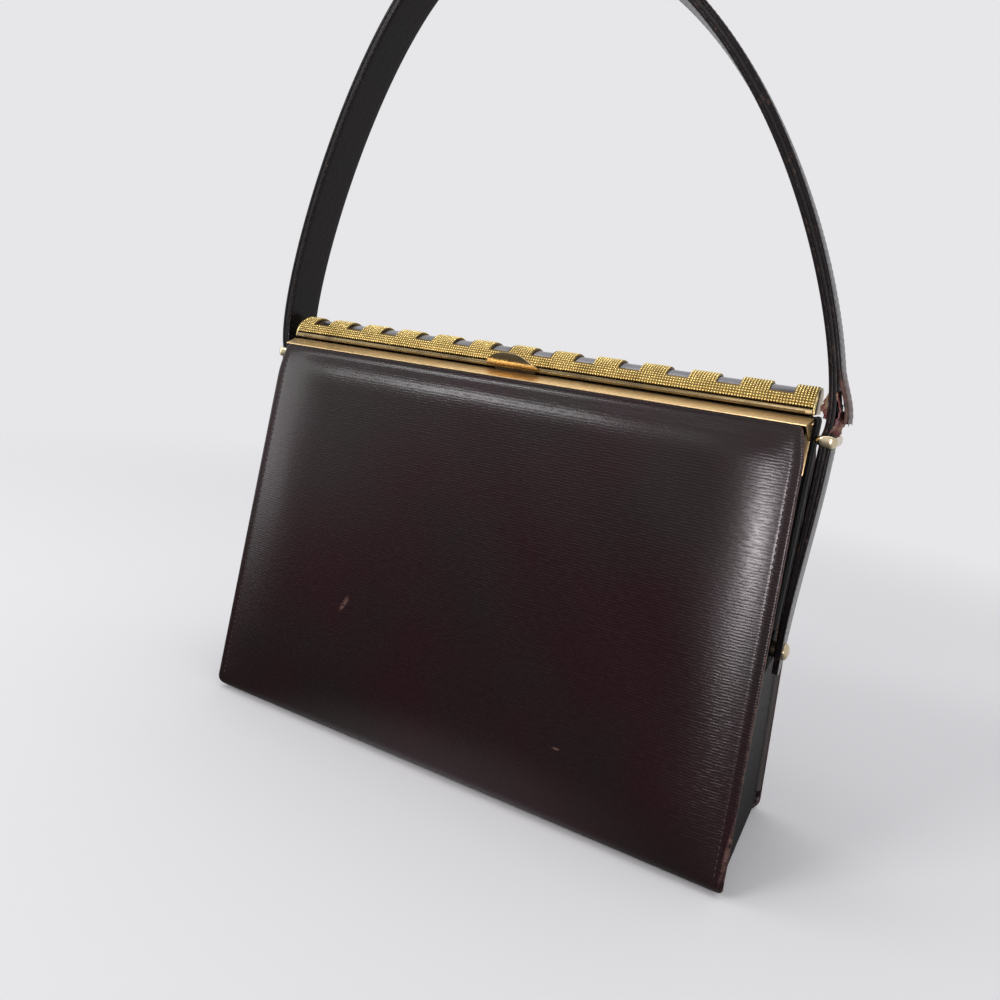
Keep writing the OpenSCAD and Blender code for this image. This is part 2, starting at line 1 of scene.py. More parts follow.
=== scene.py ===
# %% [markdown]
# # A structured frame handbag
# The bag is a tapered box of dark calf leather on a hinged brass frame. A half-round, beaded
# bar with a half-moon thumb tab closes it, and one stiff strap arches over it. The metal pieces
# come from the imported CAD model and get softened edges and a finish. Everything that is leather
# is built here again, because real leather bulges, rolls over its edges and is sewn.

# %% Load the frame
import bmesh
import bpy
import json
import math
import random
from mathutils import Matrix, Vector


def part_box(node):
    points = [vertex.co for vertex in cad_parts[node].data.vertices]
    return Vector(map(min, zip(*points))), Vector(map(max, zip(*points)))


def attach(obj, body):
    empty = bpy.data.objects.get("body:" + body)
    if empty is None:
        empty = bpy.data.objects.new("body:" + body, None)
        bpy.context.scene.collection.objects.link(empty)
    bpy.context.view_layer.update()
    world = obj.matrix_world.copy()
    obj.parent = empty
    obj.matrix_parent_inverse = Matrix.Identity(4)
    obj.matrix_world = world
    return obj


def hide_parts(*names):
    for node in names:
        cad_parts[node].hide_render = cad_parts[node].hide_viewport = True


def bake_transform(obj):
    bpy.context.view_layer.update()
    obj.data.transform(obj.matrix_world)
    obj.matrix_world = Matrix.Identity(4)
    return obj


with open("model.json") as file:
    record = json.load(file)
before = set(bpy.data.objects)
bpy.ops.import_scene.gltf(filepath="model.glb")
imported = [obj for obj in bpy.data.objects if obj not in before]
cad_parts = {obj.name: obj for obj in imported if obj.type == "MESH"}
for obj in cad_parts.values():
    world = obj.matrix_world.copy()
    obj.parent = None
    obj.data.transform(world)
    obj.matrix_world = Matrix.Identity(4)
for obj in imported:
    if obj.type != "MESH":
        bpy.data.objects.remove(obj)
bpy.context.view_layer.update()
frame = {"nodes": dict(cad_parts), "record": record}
MM = 0.001  # the script works in millimetres, and Blender in metres
print("nodes from the CAD model:", len(frame["nodes"]))

# %% [markdown]
# ## Camera
# The camera comes first, because it decides how large each detail appears. Its place, its tilt
# and its focal length were worked out from the straight edges of the bag in the photograph.

# %% Camera
def place_camera(location, right, up, lens):
    data = bpy.data.cameras.new("camera")
    data.lens = lens
    data.sensor_width = 36.0
    data.clip_start = 0.01
    camera = bpy.data.objects.new("camera", data)
    bpy.context.scene.collection.objects.link(camera)
    x, y = Vector(right).normalized(), Vector(up).normalized()
    z = x.cross(y).normalized()
    y = z.cross(x)
    turn = Matrix((x, y, z)).transposed().to_4x4()
    camera.matrix_world = Matrix.Translation(Vector(location) * MM) @ turn
    bpy.context.scene.camera = camera
    return camera

camera = place_camera(
    location=(145.42, -297.20, 176.07),
    right=(0.8744, 0.4661, 0.1351),
    up=(-0.2076, 0.1076, 0.9723),
    lens=28.78,
)
print("camera at", [round(v, 4) for v in camera.location])

# %% [markdown]
# ## Shader maths as plain Python
# A material is a tree of nodes, and wiring them one by one is slow to read. The class below wraps
# one output socket, so that an expression such as `0.3 + 0.2 * grain` adds its Math nodes by
# itself. Any other node comes from one method, `add`. It works in geometry trees as well.

# %% Wire: a socket that can be used in sums
class Wire:
    """An output socket. Sums with it build Math nodes, and add() builds any other node."""

    def __init__(self, tree, socket=None):
        self.tree = tree
        self.socket = socket

    def add(self, kind, settings=None, inputs=None, out=0):
        node = self.tree.nodes.new(kind)
        for key, value in (settings or {}).items():
            if key == "stops":
                stops = node.color_ramp.elements
                for i, (position, colour) in enumerate(value):
                    stop = stops[i] if i < len(stops) else stops.new(position)
                    stop.position = position
                    stop.color = colour
            else:
                setattr(node, key, value)
        for key, value in (inputs or {}).items():
            if isinstance(value, Wire):
                self.tree.links.new(value.socket, node.inputs[key])
            else:
                node.inputs[key].default_value = value
        return Wire(self.tree, node.outputs[out] if node.outputs else None)

    def maths(self, operation, *others):
        """This wire, and any others after it, through one Math node."""
        inputs = dict(enumerate((self, *others)))
        return self.add("ShaderNodeMath", {"operation": operation}, inputs)

    def __add__(self, other):
        return self.maths("ADD", other)

    def __sub__(self, other):
        return self.maths("SUBTRACT", other)

    def __rsub__(self, other):
        return self.add("ShaderNodeMath", {"operation": "SUBTRACT"}, {0: other, 1: self})

    def __mul__(self, other):
        return self.maths("MULTIPLY", other)

    def __truediv__(self, other):
        return self.maths("DIVIDE", other)

    # A sum and a product are the same from both sides, so 0.3 + wire needs no rule of its own.
    __radd__ = __add__
    __rmul__ = __mul__

    def step(self, low, high):
        """0 below low, 1 above high and smooth between them."""
        return self.add("ShaderNodeMapRange", {"interpolation_type": "SMOOTHSTEP"},
                        {"Value": self, "From Min": low, "From Max": high})

    def mix(self, colour_a, colour_b):
        """colour_a where this wire is 0, colour_b where it is 1."""
        return self.add("ShaderNodeMix", {"data_type": "RGBA"},
                        {0: self, 6: colour_a, 7: colour_b}, out=2)

# %% Helpers that start and end a material
def rgb(red, green, blue):
    return (red, green, blue, 1.0)

def start_finish(name):
    material = bpy.data.materials.new(name)
    material.use_nodes = True
    material.node_tree.nodes.clear()
    return material, Wire(material.node_tree)

def end_finish(material, tree, sockets):
    surface = tree.add("ShaderNodeBsdfPrincipled", inputs=sockets)
    tree.add("ShaderNodeOutputMaterial", inputs={"Surface": surface})
    return material

def surface_place(tree, scale=(1.0, 1.0, 1.0), source="UV"):
    """Where a point lies on the piece, in metres, times a scale for each direction."""
    place = tree.add("ShaderNodeTexCoord", out=source)
    return tree.add("ShaderNodeMapping", inputs={"Vector": place, "Scale": scale})

def noise(tree, place, scale, detail=3.0, roughness=0.5):
    return tree.add("ShaderNodeTexNoise", inputs={
        "Vector": place, "Scale": scale, "Detail": detail, "Roughness": roughness})

def bump(tree, height, distance):
    """Relief of the given height in metres."""
    return tree.add("ShaderNodeBump", inputs={
        "Height": height, "Distance": distance, "Strength": 1.0})

# %% [markdown]
# ## Leather
# The panels are calf with a fine straight grain, pressed in lines that run across the bag. A Wave
# texture gives the lines, and noise that is stretched along them breaks them into short dashes.
# They catch the light more than they show as colour, so most of the effect is in the bump and in
# the roughness. The pieces store a number called rim, which is 1 at a cut edge, so that the dye
# wears off there first. A scuff is an oval patch at its own place.

# %% Calf leather
def rim_of(tree):
    return tree.add("ShaderNodeAttribute", {"attribute_name": "rim"}, out="Fac")

def patch_mask(tree, centre, size, turn):
    """1 inside an oval patch round a point of the piece, fading to 0 at its rim."""
    place = tree.add("ShaderNodeTexCoord", out="Object")
    local = tree.add("ShaderNodeMapping", {"vector_type": "TEXTURE"}, {
        "Vector": place, "Location": centre, "Rotation": (0.0, turn, 0.0), "Scale": size})
    away = tree.add("ShaderNodeVectorMath", {"operation": "LENGTH"}, {0: local}, out="Value")
    return 1 - away.step(0.35, 1.0)

WAVE_STEP = 0.314  # distance between the bands of a Wave texture at scale 1

def calf_finish(name, colour, cool_colour, worn_colour, gloss, relief, dashes, worn_from,
                sheen, coat=0.0, scuffs=(), line_step=None):
    """dashes: how many fit in a metre, along and across. line_step: metres between the lines."""
    material, tree = start_finish(name)
    grain = noise(tree, surface_place(tree, (*dashes, 1.0)), 1.0, 2.5, 0.55).step(0.32, 0.68)
    if line_step:
        lines = tree.add("ShaderNodeTexWave", {"bands_direction": "Y"}, {
            "Vector": surface_place(tree), "Scale": WAVE_STEP / line_step,
            "Distortion": 3.0, "Detail": 2.0, "Detail Scale": 1.1}, out="Fac")
        grain = lines * (0.15 + 0.85 * grain)
    pores = noise(tree, surface_place(tree), 2600.0, 2.0)
    clouds = noise(tree, surface_place(tree), 16.0, 3.0)
    rubbed = noise(tree, surface_place(tree), 260.0, 4.0, 0.7)
    worn = (rim_of(tree) * rubbed).step(worn_from, worn_from + 0.3)
    for centre, size, turn in scuffs:
        mark = patch_mask(tree, centre, size, turn) * rubbed.step(0.35, 0.6)
        worn = worn.maths("MAXIMUM", mark)
    dyed = clouds.step(0.35, 0.65).mix(colour, cool_colour)
    return end_finish(material, tree, {
        "Base Color": worn.mix(dyed, worn_colour),
        "Roughness": gloss + 0.08 * grain + 0.06 * clouds + 0.2 * worn,
        "Normal": bump(tree, grain + 0.15 * pores, relief),
        "Specular IOR Level": sheen,
        "Coat Weight": coat,
        "Coat Roughness": 0.18,
    })

# %% The five leathers
# Each scuff: its centre and its half size in metres, and its turn.
PANEL_SCUFFS = (
    ((-0.0537, -0.034, 0.0588), (0.0014, 0.02, 0.0052), 0.45),
    ((0.0521, -0.037, 0.032), (0.0020, 0.02, 0.0006), 0.0),
    ((0.1186, -0.037, 0.018), (0.0011, 0.02, 0.0170), 0.04),
)
TORN_SCUFFS = (((0.1235, 0.0, 0.174), (0.0070, 0.03, 0.0160), 0.0),)
calf = calf_finish(
    "calf", rgb(0.0132, 0.0030, 0.0048), rgb(0.0098, 0.0050, 0.0048), rgb(0.090, 0.045, 0.036),
    gloss=0.22, relief=0.000028, dashes=(330.0, 900.0), line_step=0.00105, worn_from=0.34,
    sheen=0.30, coat=0.06, scuffs=PANEL_SCUFFS)
strap_calf = calf_finish(
    "strap_calf", rgb(0.0060, 0.0034, 0.0038), rgb(0.0052, 0.0038, 0.0040), rgb(0.12, 0.060, 0.045),
    gloss=0.24, relief=0.00005, dashes=(420.0, 420.0), worn_from=0.55,
    sheen=0.14, coat=0.06, scuffs=TORN_SCUFFS)
side_calf = calf_finish(
    "side_calf", rgb(0.012, 0.010, 0.011), rgb(0.015, 0.013, 0.014), rgb(0.07, 0.05, 0.04),
    gloss=0.50, relief=0.00005, dashes=(420.0, 420.0), worn_from=0.55, sheen=0.10)
# The edge strips are painted pale grey: a painted highlight along the edges of the layers.
strip_calf_highlight = calf_finish(
    "strip_calf_highlight", rgb(0.060, 0.054, 0.052), rgb(0.075, 0.068, 0.064), rgb(0.15, 0.11, 0.09),
    gloss=0.40, relief=0.00003, dashes=(250.0, 250.0), worn_from=0.60, sheen=0.30)
black_calf = calf_finish(
    "black_calf", rgb(0.0030, 0.0026, 0.0028), rgb(0.0035, 0.0030, 0.0030), rgb(0.03, 0.022, 0.02),
    gloss=0.50, relief=0.00003, dashes=(250.0, 250.0), worn_from=0.60, sheen=0.03)
print("leathers:", [m.name for m in (calf, strap_calf, side_calf, strip_calf_highlight, black_calf)])

# %% [markdown]
# ## Painted edges, thread and lining
# The cut edges of a strap are dyed dark and polished, and where the dye has worn off the tan
# fibres show. The thread is waxed and close in colour to the leather. The lining is a woven cloth.

# %% Painted edges, thread and lining
def edge_finish(name, dark, tan, spots_per_metre, worn_from):
    material, tree = start_finish(name)
    spots = noise(tree, surface_place(tree, source="Object"), spots_per_metre, 4.0, 0.65)
    worn = spots.step(worn_from, worn_from + 0.2)
    return end_finish(material, tree, {
        "Base Color": worn.mix(dark, tan),
        "Roughness": 0.35 + 0.3 * worn,
        "Normal": bump(tree, spots, 0.00012),
        "Specular IOR Level": 0.2,
    })

def thread_finish(name, colour):
    material, tree = start_finish(name)
    twist = noise(tree, surface_place(tree, source="Object"), 3500.0, 1.0)
    lighter = tuple(c * 1.8 for c in colour[:3]) + (1.0,)
    return end_finish(material, tree, {
        "Base Color": twist.mix(colour, lighter),
        "Roughness": 0.6,
        "Normal": bump(tree, twist, 0.00004),
    })

def lining_finish():
    material, tree = start_finish("lining_cloth")
    place = surface_place(tree)
    warp, weft = (tree.add("ShaderNodeTexWave", {"bands_direction": direction}, {
        "Vector": place, "Scale": 380.0, "Distortion": 0.6}, out="Fac") for direction in "XY")
    weave = warp * weft
    return end_finish(material, tree, {
        "Base Color": weave.mix(rgb(0.10, 0.055, 0.04), rgb(0.17, 0.10, 0.07)),
        "Roughness": 0.8,
        "Normal": bump(tree, weave, 0.0001),
    })

painted_edge = edge_finish("painted_edge", rgb(0.006, 0.0045, 0.0045), rgb(0.05, 0.028, 0.02),
                           spots_per_metre=420.0, worn_from=0.56)
torn_leather = edge_finish("torn_leather", rgb(0.105, 0.026, 0.026), rgb(0.36, 0.24, 0.155),
                           spots_per_metre=170.0, worn_from=0.47)
brown_thread = thread_finish("brown_thread", rgb(0.018, 0.0070, 0.0080))
black_thread = thread_finish("black_thread", rgb(0.008, 0.006, 0.006))
lining_cloth = lining_finish()
print("edges, thread and lining are ready")

# %% [markdown]
# ## Metal
# The rails, the tab and the studs are brass with faint wiping marks and a darker film in places.
# One recipe makes them all, from satin rails to the plate under the bar, which is painted dark as
# the shade it sits in, like the end caps of the bar. The beaded cover is brass too, dull and
# painted dark between its beads as shade, and darker still along its foot as painted shade. The
# inlay is plain grey steel.

# %% Metal finishes
def metal_finish(name, bright, film, rough, film_share, shade_below=None):
    material, tree = start_finish(name)
    wiped = noise(tree, surface_place(tree, (120.0, 900.0, 900.0), "Object"), 1.0, 3.0)
    patches = noise(tree, surface_place(tree, source="Object"), 90.0, 4.0, 0.6)
    tarnish = patches.step(0.45, 0.75) * film_share
    colour = tarnish.mix(bright, film)
    roughness = rough + 0.08 * wiped + 0.25 * tarnish
    if shade_below:
        # Below the given height the colour is painted darker and rougher: painted shade along the
        # foot of the beaded cover.
        place = tree.add("ShaderNodeTexCoord", out="Object")
        height = tree.add("ShaderNodeSeparateXYZ", inputs={0: place}, out="Z")
        foot_shade = 1 - height.step(shade_below - 0.0003, shade_below + 0.0002)
        colour = foot_shade.mix(colour, rgb(0.022, 0.014, 0.008))
        roughness = roughness + 0.3 * foot_shade
    return end_finish(material, tree, {
        "Base Color": colour,
        "Metallic": 1.0,
        "Roughness": roughness,
        "Normal": bump(tree, wiped, 0.00001),
    })

brass = metal_finish("polished_brass", rgb(0.74, 0.56, 0.30), rgb(0.36, 0.25, 0.13), 0.22, 0.4)
satin_brass = metal_finish("satin_brass", rgb(0.82, 0.60, 0.31), rgb(0.48, 0.34, 0.16), 0.38, 0.4)
bead_brass = metal_finish("bead_brass", rgb(0.88, 0.69, 0.27), rgb(0.50, 0.36, 0.12), 0.24, 0.5)
# The cover between the beads: brass painted dark as the shade that falls between them.
hollow_shade_brass = metal_finish("hollow_shade_brass", rgb(0.20, 0.13, 0.045), rgb(0.08, 0.05, 0.02), 0.45,
                            0.6, shade_below=0.1694)
pale_brass = metal_finish("pale_brass", rgb(0.62, 0.53, 0.36), rgb(0.30, 0.23, 0.14), 0.22, 0.6)
# Brass painted darker as the shade on the end caps of the bar.
olive_shade_brass = metal_finish("olive_shade_brass", rgb(0.46, 0.36, 0.17), rgb(0.16, 0.12, 0.06), 0.25, 0.5)
# Brass painted dark as the shade on the plate and its lip, which sit back under the beaded cover.
recess_shade_brass = metal_finish("recess_shade_brass", rgb(0.20, 0.15, 0.075), rgb(0.06, 0.045, 0.03), 0.30, 0.6)
dark_brass = metal_finish("dark_brass", rgb(0.05, 0.04, 0.03), rgb(0.02, 0.016, 0.012), 0.45, 0.5)
steel = metal_finish("grey_steel", rgb(0.27, 0.27, 0.29), rgb(0.12, 0.12, 0.13), 0.25, 0.5)
print("metals are ready, from", brass.name, "to", steel.name)

# %% [markdown]
# ## Softened metal edges
# A CAD solid has perfectly sharp edges, and these look unreal because no light catches on them.
# So each metal node is copied, its loose triangles are merged, flat faces are joined, and a small
# Bevel rounds the edges. The copy stands for its node and rides on the same body.

# %% Soften a CAD node
BODY_OF = {
    node: body
    for body, nodes in frame["record"]["behaviour"]["bodies"].items()
    for node in nodes
}

def link(obj):
    bpy.context.scene.collection.objects.link(obj)
    return obj

def smooth_below(mesh, degrees):
    work = bmesh.new()
    work.from_mesh(mesh)
    for face in work.faces:
        face.smooth = True
    for edge in work.edges:
        sharp = len(edge.link_faces) == 2 and edge.calc_face_angle() > math.radians(degrees)
        edge.smooth = not sharp
    work.to_mesh(mesh)
    work.free()

def baked(obj):
    """The object as a plain mesh, with its modifiers applied."""
    view = bpy.context.evaluated_depsgraph_get()
    mesh = bpy.data.meshes.new_from_object(obj.evaluated_get(view))
    old = obj.data
    obj.modifiers.clear()
    obj.data = mesh
    if old.users == 0:
        bpy.data.meshes.remove(old)
    return obj

def roll_edges(obj, width, segments=3, angle=60):
    """Rounds the edges that are sharper than the angle."""
    rolled = obj.modifiers.new("rolled_edge", "BEVEL")
    rolled.width = width * MM
    rolled.segments = segments
    rolled.limit_method = "ANGLE"
    rolled.angle_limit = math.radians(angle)
    return baked(obj)

def softened(node, material, width, covered=None):
    """A rounded copy of a node. covered = (height, material) is for the wrapped lower part."""
    mesh = frame["nodes"][node].data.copy()
    work = bmesh.new()
    work.from_mesh(mesh)
    bmesh.ops.remove_doubles(work, verts=work.verts, dist=0.000002)
    bmesh.ops.dissolve_limit(work, angle_limit=math.radians(0.4), verts=work.verts,
                             edges=work.edges)
    if covered:
        bmesh.ops.bisect_plane(work, geom=work.verts[:] + work.edges[:] + work.faces[:],
                               plane_co=(0, 0, covered[0] * MM), plane_no=(0, 0, 1))
    work.to_mesh(mesh)
    work.free()
    mesh.materials.clear()
    mesh.materials.append(material)
    if covered:
        mesh.materials.append(covered[1])
        for face in mesh.polygons:
            face.material_index = int(face.center.z < covered[0] * MM)
    obj = link(bpy.data.objects.new(node + "_finished", mesh))
    roll_edges(obj, width, segments=2, angle=32)
    smooth_below(obj.data, 38)
    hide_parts(node)
    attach(obj, BODY_OF[node])
    return obj

# %% The metal nodes
# Each node's finish and the width of its rounded edges in millimetres.
METAL_NODES = {
    "hinge_spacers": (dark_brass, 0.1), "bar_plate": (recess_shade_brass, 0.15),
    "bar_cover": (hollow_shade_brass, 0.08), "bar_ends": (olive_shade_brass, 0.15),
    "bar_inlay": (steel, 0.05), "thumb_tab": (brass, 0.25),
    "bar_latch": (dark_brass, 0.1), "catch_block": (dark_brass, 0.15),
    "clasp_pins": (brass, 0.1), "hinge_studs": (pale_brass, 0.12),
}
WRAPPED_BELOW = 146.0  # the arms of the frame are wrapped in leather up to this height
for node, (material, width) in METAL_NODES.items():
    piece = softened(node, material, width)
    print(node, len(piece.data.polygons), "faces")
for node in ("front_frame", "rear_frame"):
    softened(node, satin_brass, 0.22, covered=(WRAPPED_BELOW, black_calf))

# %% [markdown]
# ## Geometry Nodes for what repeats
# The beads on the bar and the stitches are the same small shape many times. A Geometry Nodes tree
# places them: it needs only the shape, the places and the turn at each place. The tree ends in
# Realize Instances and Set Material, and the result is stored as a plain mesh.

# %% Start, run and store a geometry tree
def new_tree(name, inputs):
    tree = bpy.data.node_groups.new(name, "GeometryNodeTree")
    tree.interface.new_socket("Geometry", in_out="INPUT", socket_type="NodeSocketGeometry")
    for label, kind in inputs:
        tree.interface.new_socket(label, in_out="INPUT", socket_type=kind)
    tree.interface.new_socket("Geometry", in_out="OUTPUT", socket_type="NodeSocketGeometry")
    start = tree.nodes.new("NodeGroupInput")
    sockets = {s.name: Wire(tree, s) for s in start.outputs if s.name}
    return tree, Wire(tree), sockets

def end_tree(wire, geometry, material):
    whole = wire.add("GeometryNodeRealizeInstances", inputs={"Geometry": geometry})
    whole = wire.add("GeometryNodeSetShadeSmooth", inputs={0: whole})
    whole = wire.add("GeometryNodeSetMaterial", inputs={"Geometry": whole, "Material": material})
    wire.add("NodeGroupOutput", inputs={0: whole})

def run_tree(obj, tree, values, material):
    modifier = obj.modifiers.new(tree.name, "NODES")
    modifier.node_group = tree
    for item in tree.interface.items_tree:
        if item.item_type == "SOCKET" and item.in_out == "INPUT" and item.name in values:
            modifier[item.identifier] = values[item.name]
    baked(obj)
    obj.data.materials.clear()
    obj.data.materials.append(material)
    return obj

# %% [markdown]
# ## The beaded bar
# The cover of the bar is pressed brass, in rows of small beads that run along it and around it.
# Twelve windows in it show the steel inlay. The beads sit on a half cylinder, so the tree takes a
# flat grid, wraps it, leaves out what lies in a window, and sets a flattened bead on each point.

# %% Bead tree
def bead_tree():
    tree, wire, take = new_tree("beads", [
        ("Radius", "NodeSocketFloat"), ("Height", "NodeSocketFloat"),
        ("Length", "NodeSocketFloat"), ("Pitch", "NodeSocketFloat"),
        ("Low angle", "NodeSocketFloat"), ("Window pitch", "NodeSocketFloat"),
        ("Window width", "NodeSocketFloat"), ("Window angle", "NodeSocketFloat")])
    span = math.pi - 2 * take["Low angle"]
    rows = (span * take["Radius"] / take["Pitch"]).maths("ROUND")
    columns = (take["Length"] / take["Pitch"]).maths("ROUND")
    grid = wire.add("GeometryNodeMeshGrid", inputs={
        "Size X": take["Length"], "Size Y": span,
        "Vertices X": columns, "Vertices Y": rows}, out="Mesh")
    place = wire.add("GeometryNodeInputPosition")
    along = wire.add("ShaderNodeSeparateXYZ", inputs={0: place}, out="X")
    around = math.pi / 2 - wire.add("ShaderNodeSeparateXYZ", inputs={0: place}, out="Y")
    back = around.maths("COSINE")
    up = around.maths("SINE")
    # A window is centred half a pitch away from the middle, and on every pitch from there.
    offset = (along / take["Window pitch"]).maths("FRACT") - 0.5
    beside = offset.maths("ABSOLUTE") * take["Window pitch"]
    in_window = beside.maths("LESS_THAN", take["Window width"] * 0.5 + 0.1 * MM)
    tilt = (around - math.pi / 2).maths("ABSOLUTE")
    on_top = tilt.maths("LESS_THAN", take["Window angle"])
    kept = wire.add("GeometryNodeDeleteGeometry", inputs={
        "Geometry": grid, "Selection": in_window * on_top})
    normal = wire.add("ShaderNodeCombineXYZ", inputs={"X": 0.0, "Y": back, "Z": up})
    stored = wire.add("GeometryNodeStoreNamedAttribute", {"data_type": "FLOAT_VECTOR"}, {
        "Geometry": kept, "Name": "bead_normal", "Value": normal})
    wrapped = wire.add("GeometryNodeSetPosition", inputs={
        "Geometry": stored,
        "Position": wire.add("ShaderNodeCombineXYZ", inputs={
            "X": along, "Y": back * take["Radius"],
            "Z": up * take["Radius"] + take["Height"]})})
    bead = wire.add("GeometryNodeMeshIcoSphere", inputs={
        "Radius": take["Pitch"] * 0.52, "Subdivisions": 1}, out="Mesh")
    bead = wire.add("GeometryNodeTransform", inputs={
        "Geometry": bead, "Scale": (0.92, 0.92, 0.55)})
    turn = wire.add("FunctionNodeAlignRotationToVector", {"axis": "Z"}, {
        "Vector": wire.add("GeometryNodeInputNamedAttribute", {"data_type": "FLOAT_VECTOR"},
                           {"Name": "bead_normal"})})
    beads = wire.add("GeometryNodeInstanceOnPoints", inputs={
        "Points": wrapped, "Instance": bead, "Rotation": turn})
    end_tree(wire, beads, bead_brass)
    return tree

# %% Beads on the bar
BAR_AXIS, BAR_R = 166.7, 9.4
WINDOW_PITCH, WINDOW_WIDTH, BEADS_PER_WINDOW = 18.5, 8.3, 18
bar_low, bar_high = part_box("bar_cover")

def make_beads():
    holder = link(bpy.data.objects.new("bar_beads", bpy.data.meshes.new("bar_beads")))
    run_tree(holder, bead_tree(), {
        "Radius": (BAR_R - 0.05) * MM, "Height": BAR_AXIS * MM,
        "Length": (bar_high[0] - bar_low[0]) - 0.9 * MM,
        "Pitch": WINDOW_PITCH / BEADS_PER_WINDOW * MM, "Low angle": math.radians(18.0),
        "Window pitch": WINDOW_PITCH * MM, "Window width": WINDOW_WIDTH * MM,
        "Window angle": math.radians(48.5)}, bead_brass)
    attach(holder, "clasp_bar")
    return holder

beads = make_beads()
print("beads:", len(beads.data.polygons), "faces")

# %% [markdown]
# ## Sheets of leather
# A panel is a thin sheet with rolled edges. It is built row by row: each row is a closed loop that
# goes over the outer face, round one edge, back along the inner face and round the other edge.
# Joining the loops gives a closed sheet with a real thickness, at any bulge that is wanted.

# %% From faces to a piece
def store(name, work, material):
    """The bmesh as a new object."""
    mesh = bpy.data.meshes.new(name)
    work.to_mesh(mesh)
    work.free()
    mesh.materials.append(material)
    return link(bpy.data.objects.new(name, mesh))

def write_surface(work, uv_values, rim_values):
    """A place in the UV map and a rim number for each vertex, in the order they were made."""
    work.verts.index_update()
    uv_map = work.loops.layers.uv.new("UVMap")
    rim = work.verts.layers.float.new("rim")
    for vert in work.verts:
        vert[rim] = rim_values[vert.index]
    for face in work.faces:
        for loop in face.loops:
            loop[uv_map].uv = uv_values[loop.vert.index]

def finish_piece(name, work, material, surface=None):
    """Faces turned outwards, the UV and rim values where a piece has them, smooth shading."""
    bmesh.ops.recalc_face_normals(work, faces=work.faces)
    if surface:
        write_surface(work, *surface)
    obj = store(name, work, material)
    smooth_below(obj.data, 50)
    return obj

def join_rings(work, rings):
    """Faces between each ring of vertices and the next. A ring of one vertex is a pole."""
    for low, high in zip(rings, rings[1:]):
        count = max(len(low), len(high))
        for i in range(count):
            j = (i + 1) % count
            corners = [low[i % len(low)], low[j % len(low)], high[j % len(high)],
                       high[i % len(high)]]
            work.faces.new(list(dict.fromkeys(corners)))

# %% Sheet builder
def sheet_mesh(name, rows, columns, thickness, bulge, material, half_of, edge_turns=5):
    """rows: (y, z, normal_y, normal_z, length so far). columns run from -1 to 1.

    half_of gives half the width at a height, and bulge how far a point stands off its row."""
    radius = thickness / 2
    work = bmesh.new()
    uv_values, rim_values, rings = [], [], []
    for y, z, ny, nz, run in rows:
        wide = half_of(z) - radius
        ring = []

        def put(x, off, rim):
            vert = work.verts.new(Vector((x, y + ny * off, z + nz * off)) * MM)
            uv_values.append((x * MM, run * MM))
            rim_values.append(rim)
            ring.append(vert)

        for c in columns:
            put(c * wide, bulge(c * wide, z), max(0.0, 1 - (1 - abs(c)) * wide / 2.0) * 0.6)
        end = bulge(wide, z) - radius
        for k in range(1, edge_turns):
            a = math.pi / 2 - math.pi * k / edge_turns
            put(wide + radius * math.cos(a), end + radius * math.sin(a), 1.0)
        for c in reversed(columns):
            put(c * wide, bulge(c * wide, z) - thickness, 0.0)
        for k in range(1, edge_turns):
            a = -math.pi / 2 - math.pi * k / edge_turns
            put(-wide + radius * math.cos(a), end + radius * math.sin(a), 1.0)
        rings.append(ring)
    join_rings(work, rings)
    n = len(columns)
    for ring in (rings[0], rings[-1]):
        for i in range(n - 1):
            work.faces.new((ring[i], ring[i + 1], ring[n + edge_turns - 1 + n - 2 - i],
                            ring[n + edge_turns - 1 + n - 1 - i]))
        work.faces.new(ring[n - 1:n + edge_turns])
        work.faces.new(ring[2 * n + edge_turns - 2:] + [ring[0]])
    return finish_piece(name, work, material, (uv_values, rim_values))

def spread(count, crowd):
    """Numbers from -1 to 1 that crowd towards both ends."""
    values = [-1 + 2 * i / (count - 1) for i in range(count)]
    return [(1 - crowd) * v + crowd * math.sin(v * math.pi / 2) for v in values]

# %% [markdown]
# ## Front, base and back
# The front leans back by seven degrees, turns round the bottom edge and meets the base. Under the
# leather are a board and a thin pad, so the face is a little fuller than a flat plate, and its
# curve tightens towards the sides and under the rail. That curve is what draws the long soft
# highlight near the side edge. The front skin reaches from the body up past the flexing band to the
# frame, in one piece that stays where it is built.

# %% Shape of the walls
BODY_H, BASE_HALF, MOUTH_HALF, HALF_DEPTH, MOUTH_DEPTH = 163.0, 120.0, 114.5, 37.0, 16.5
BOTTOM_R, CORNER_R, TOP_R, LEATHER_T = 6.0, 4.0, 2.0, 1.4
SKIN_TOP = BODY_H + 0.02
SEAM_IN, SEAM_LOW, SEAM_HIGH = 3.6, 7.0, 158.0
LEAN = math.atan((HALF_DEPTH - MOUTH_DEPTH) / BODY_H)

def ease(t):
    t = min(1.0, max(0.0, t))
    return t * t * (3 - 2 * t)

def half_width(z):
    """From the middle of the bag to the side edge of a wall, at the height z."""
    drawn = 1.65 * (max(0.0, z - 148.0) / 15.0) ** 2
    wide = BASE_HALF - z * (BASE_HALF - MOUTH_HALF) / BODY_H - drawn
    if z < CORNER_R:
        wide += -CORNER_R + math.sqrt(max(0.0, CORNER_R ** 2 - (CORNER_R - z) ** 2))
    return wide

def skin_half(z):
    """The leather draws in a little more under the rail, and its top corners are round."""
    drawn = 0.6 * ease((z - 149.0) / 12.0)
    high = max(0.0, z - (SKIN_TOP - TOP_R))
    return half_width(z) - drawn - TOP_R + math.sqrt(max(0.0, TOP_R ** 2 - high ** 2))

def half_depth(z):
    return HALF_DEPTH - z * math.tan(LEAN)

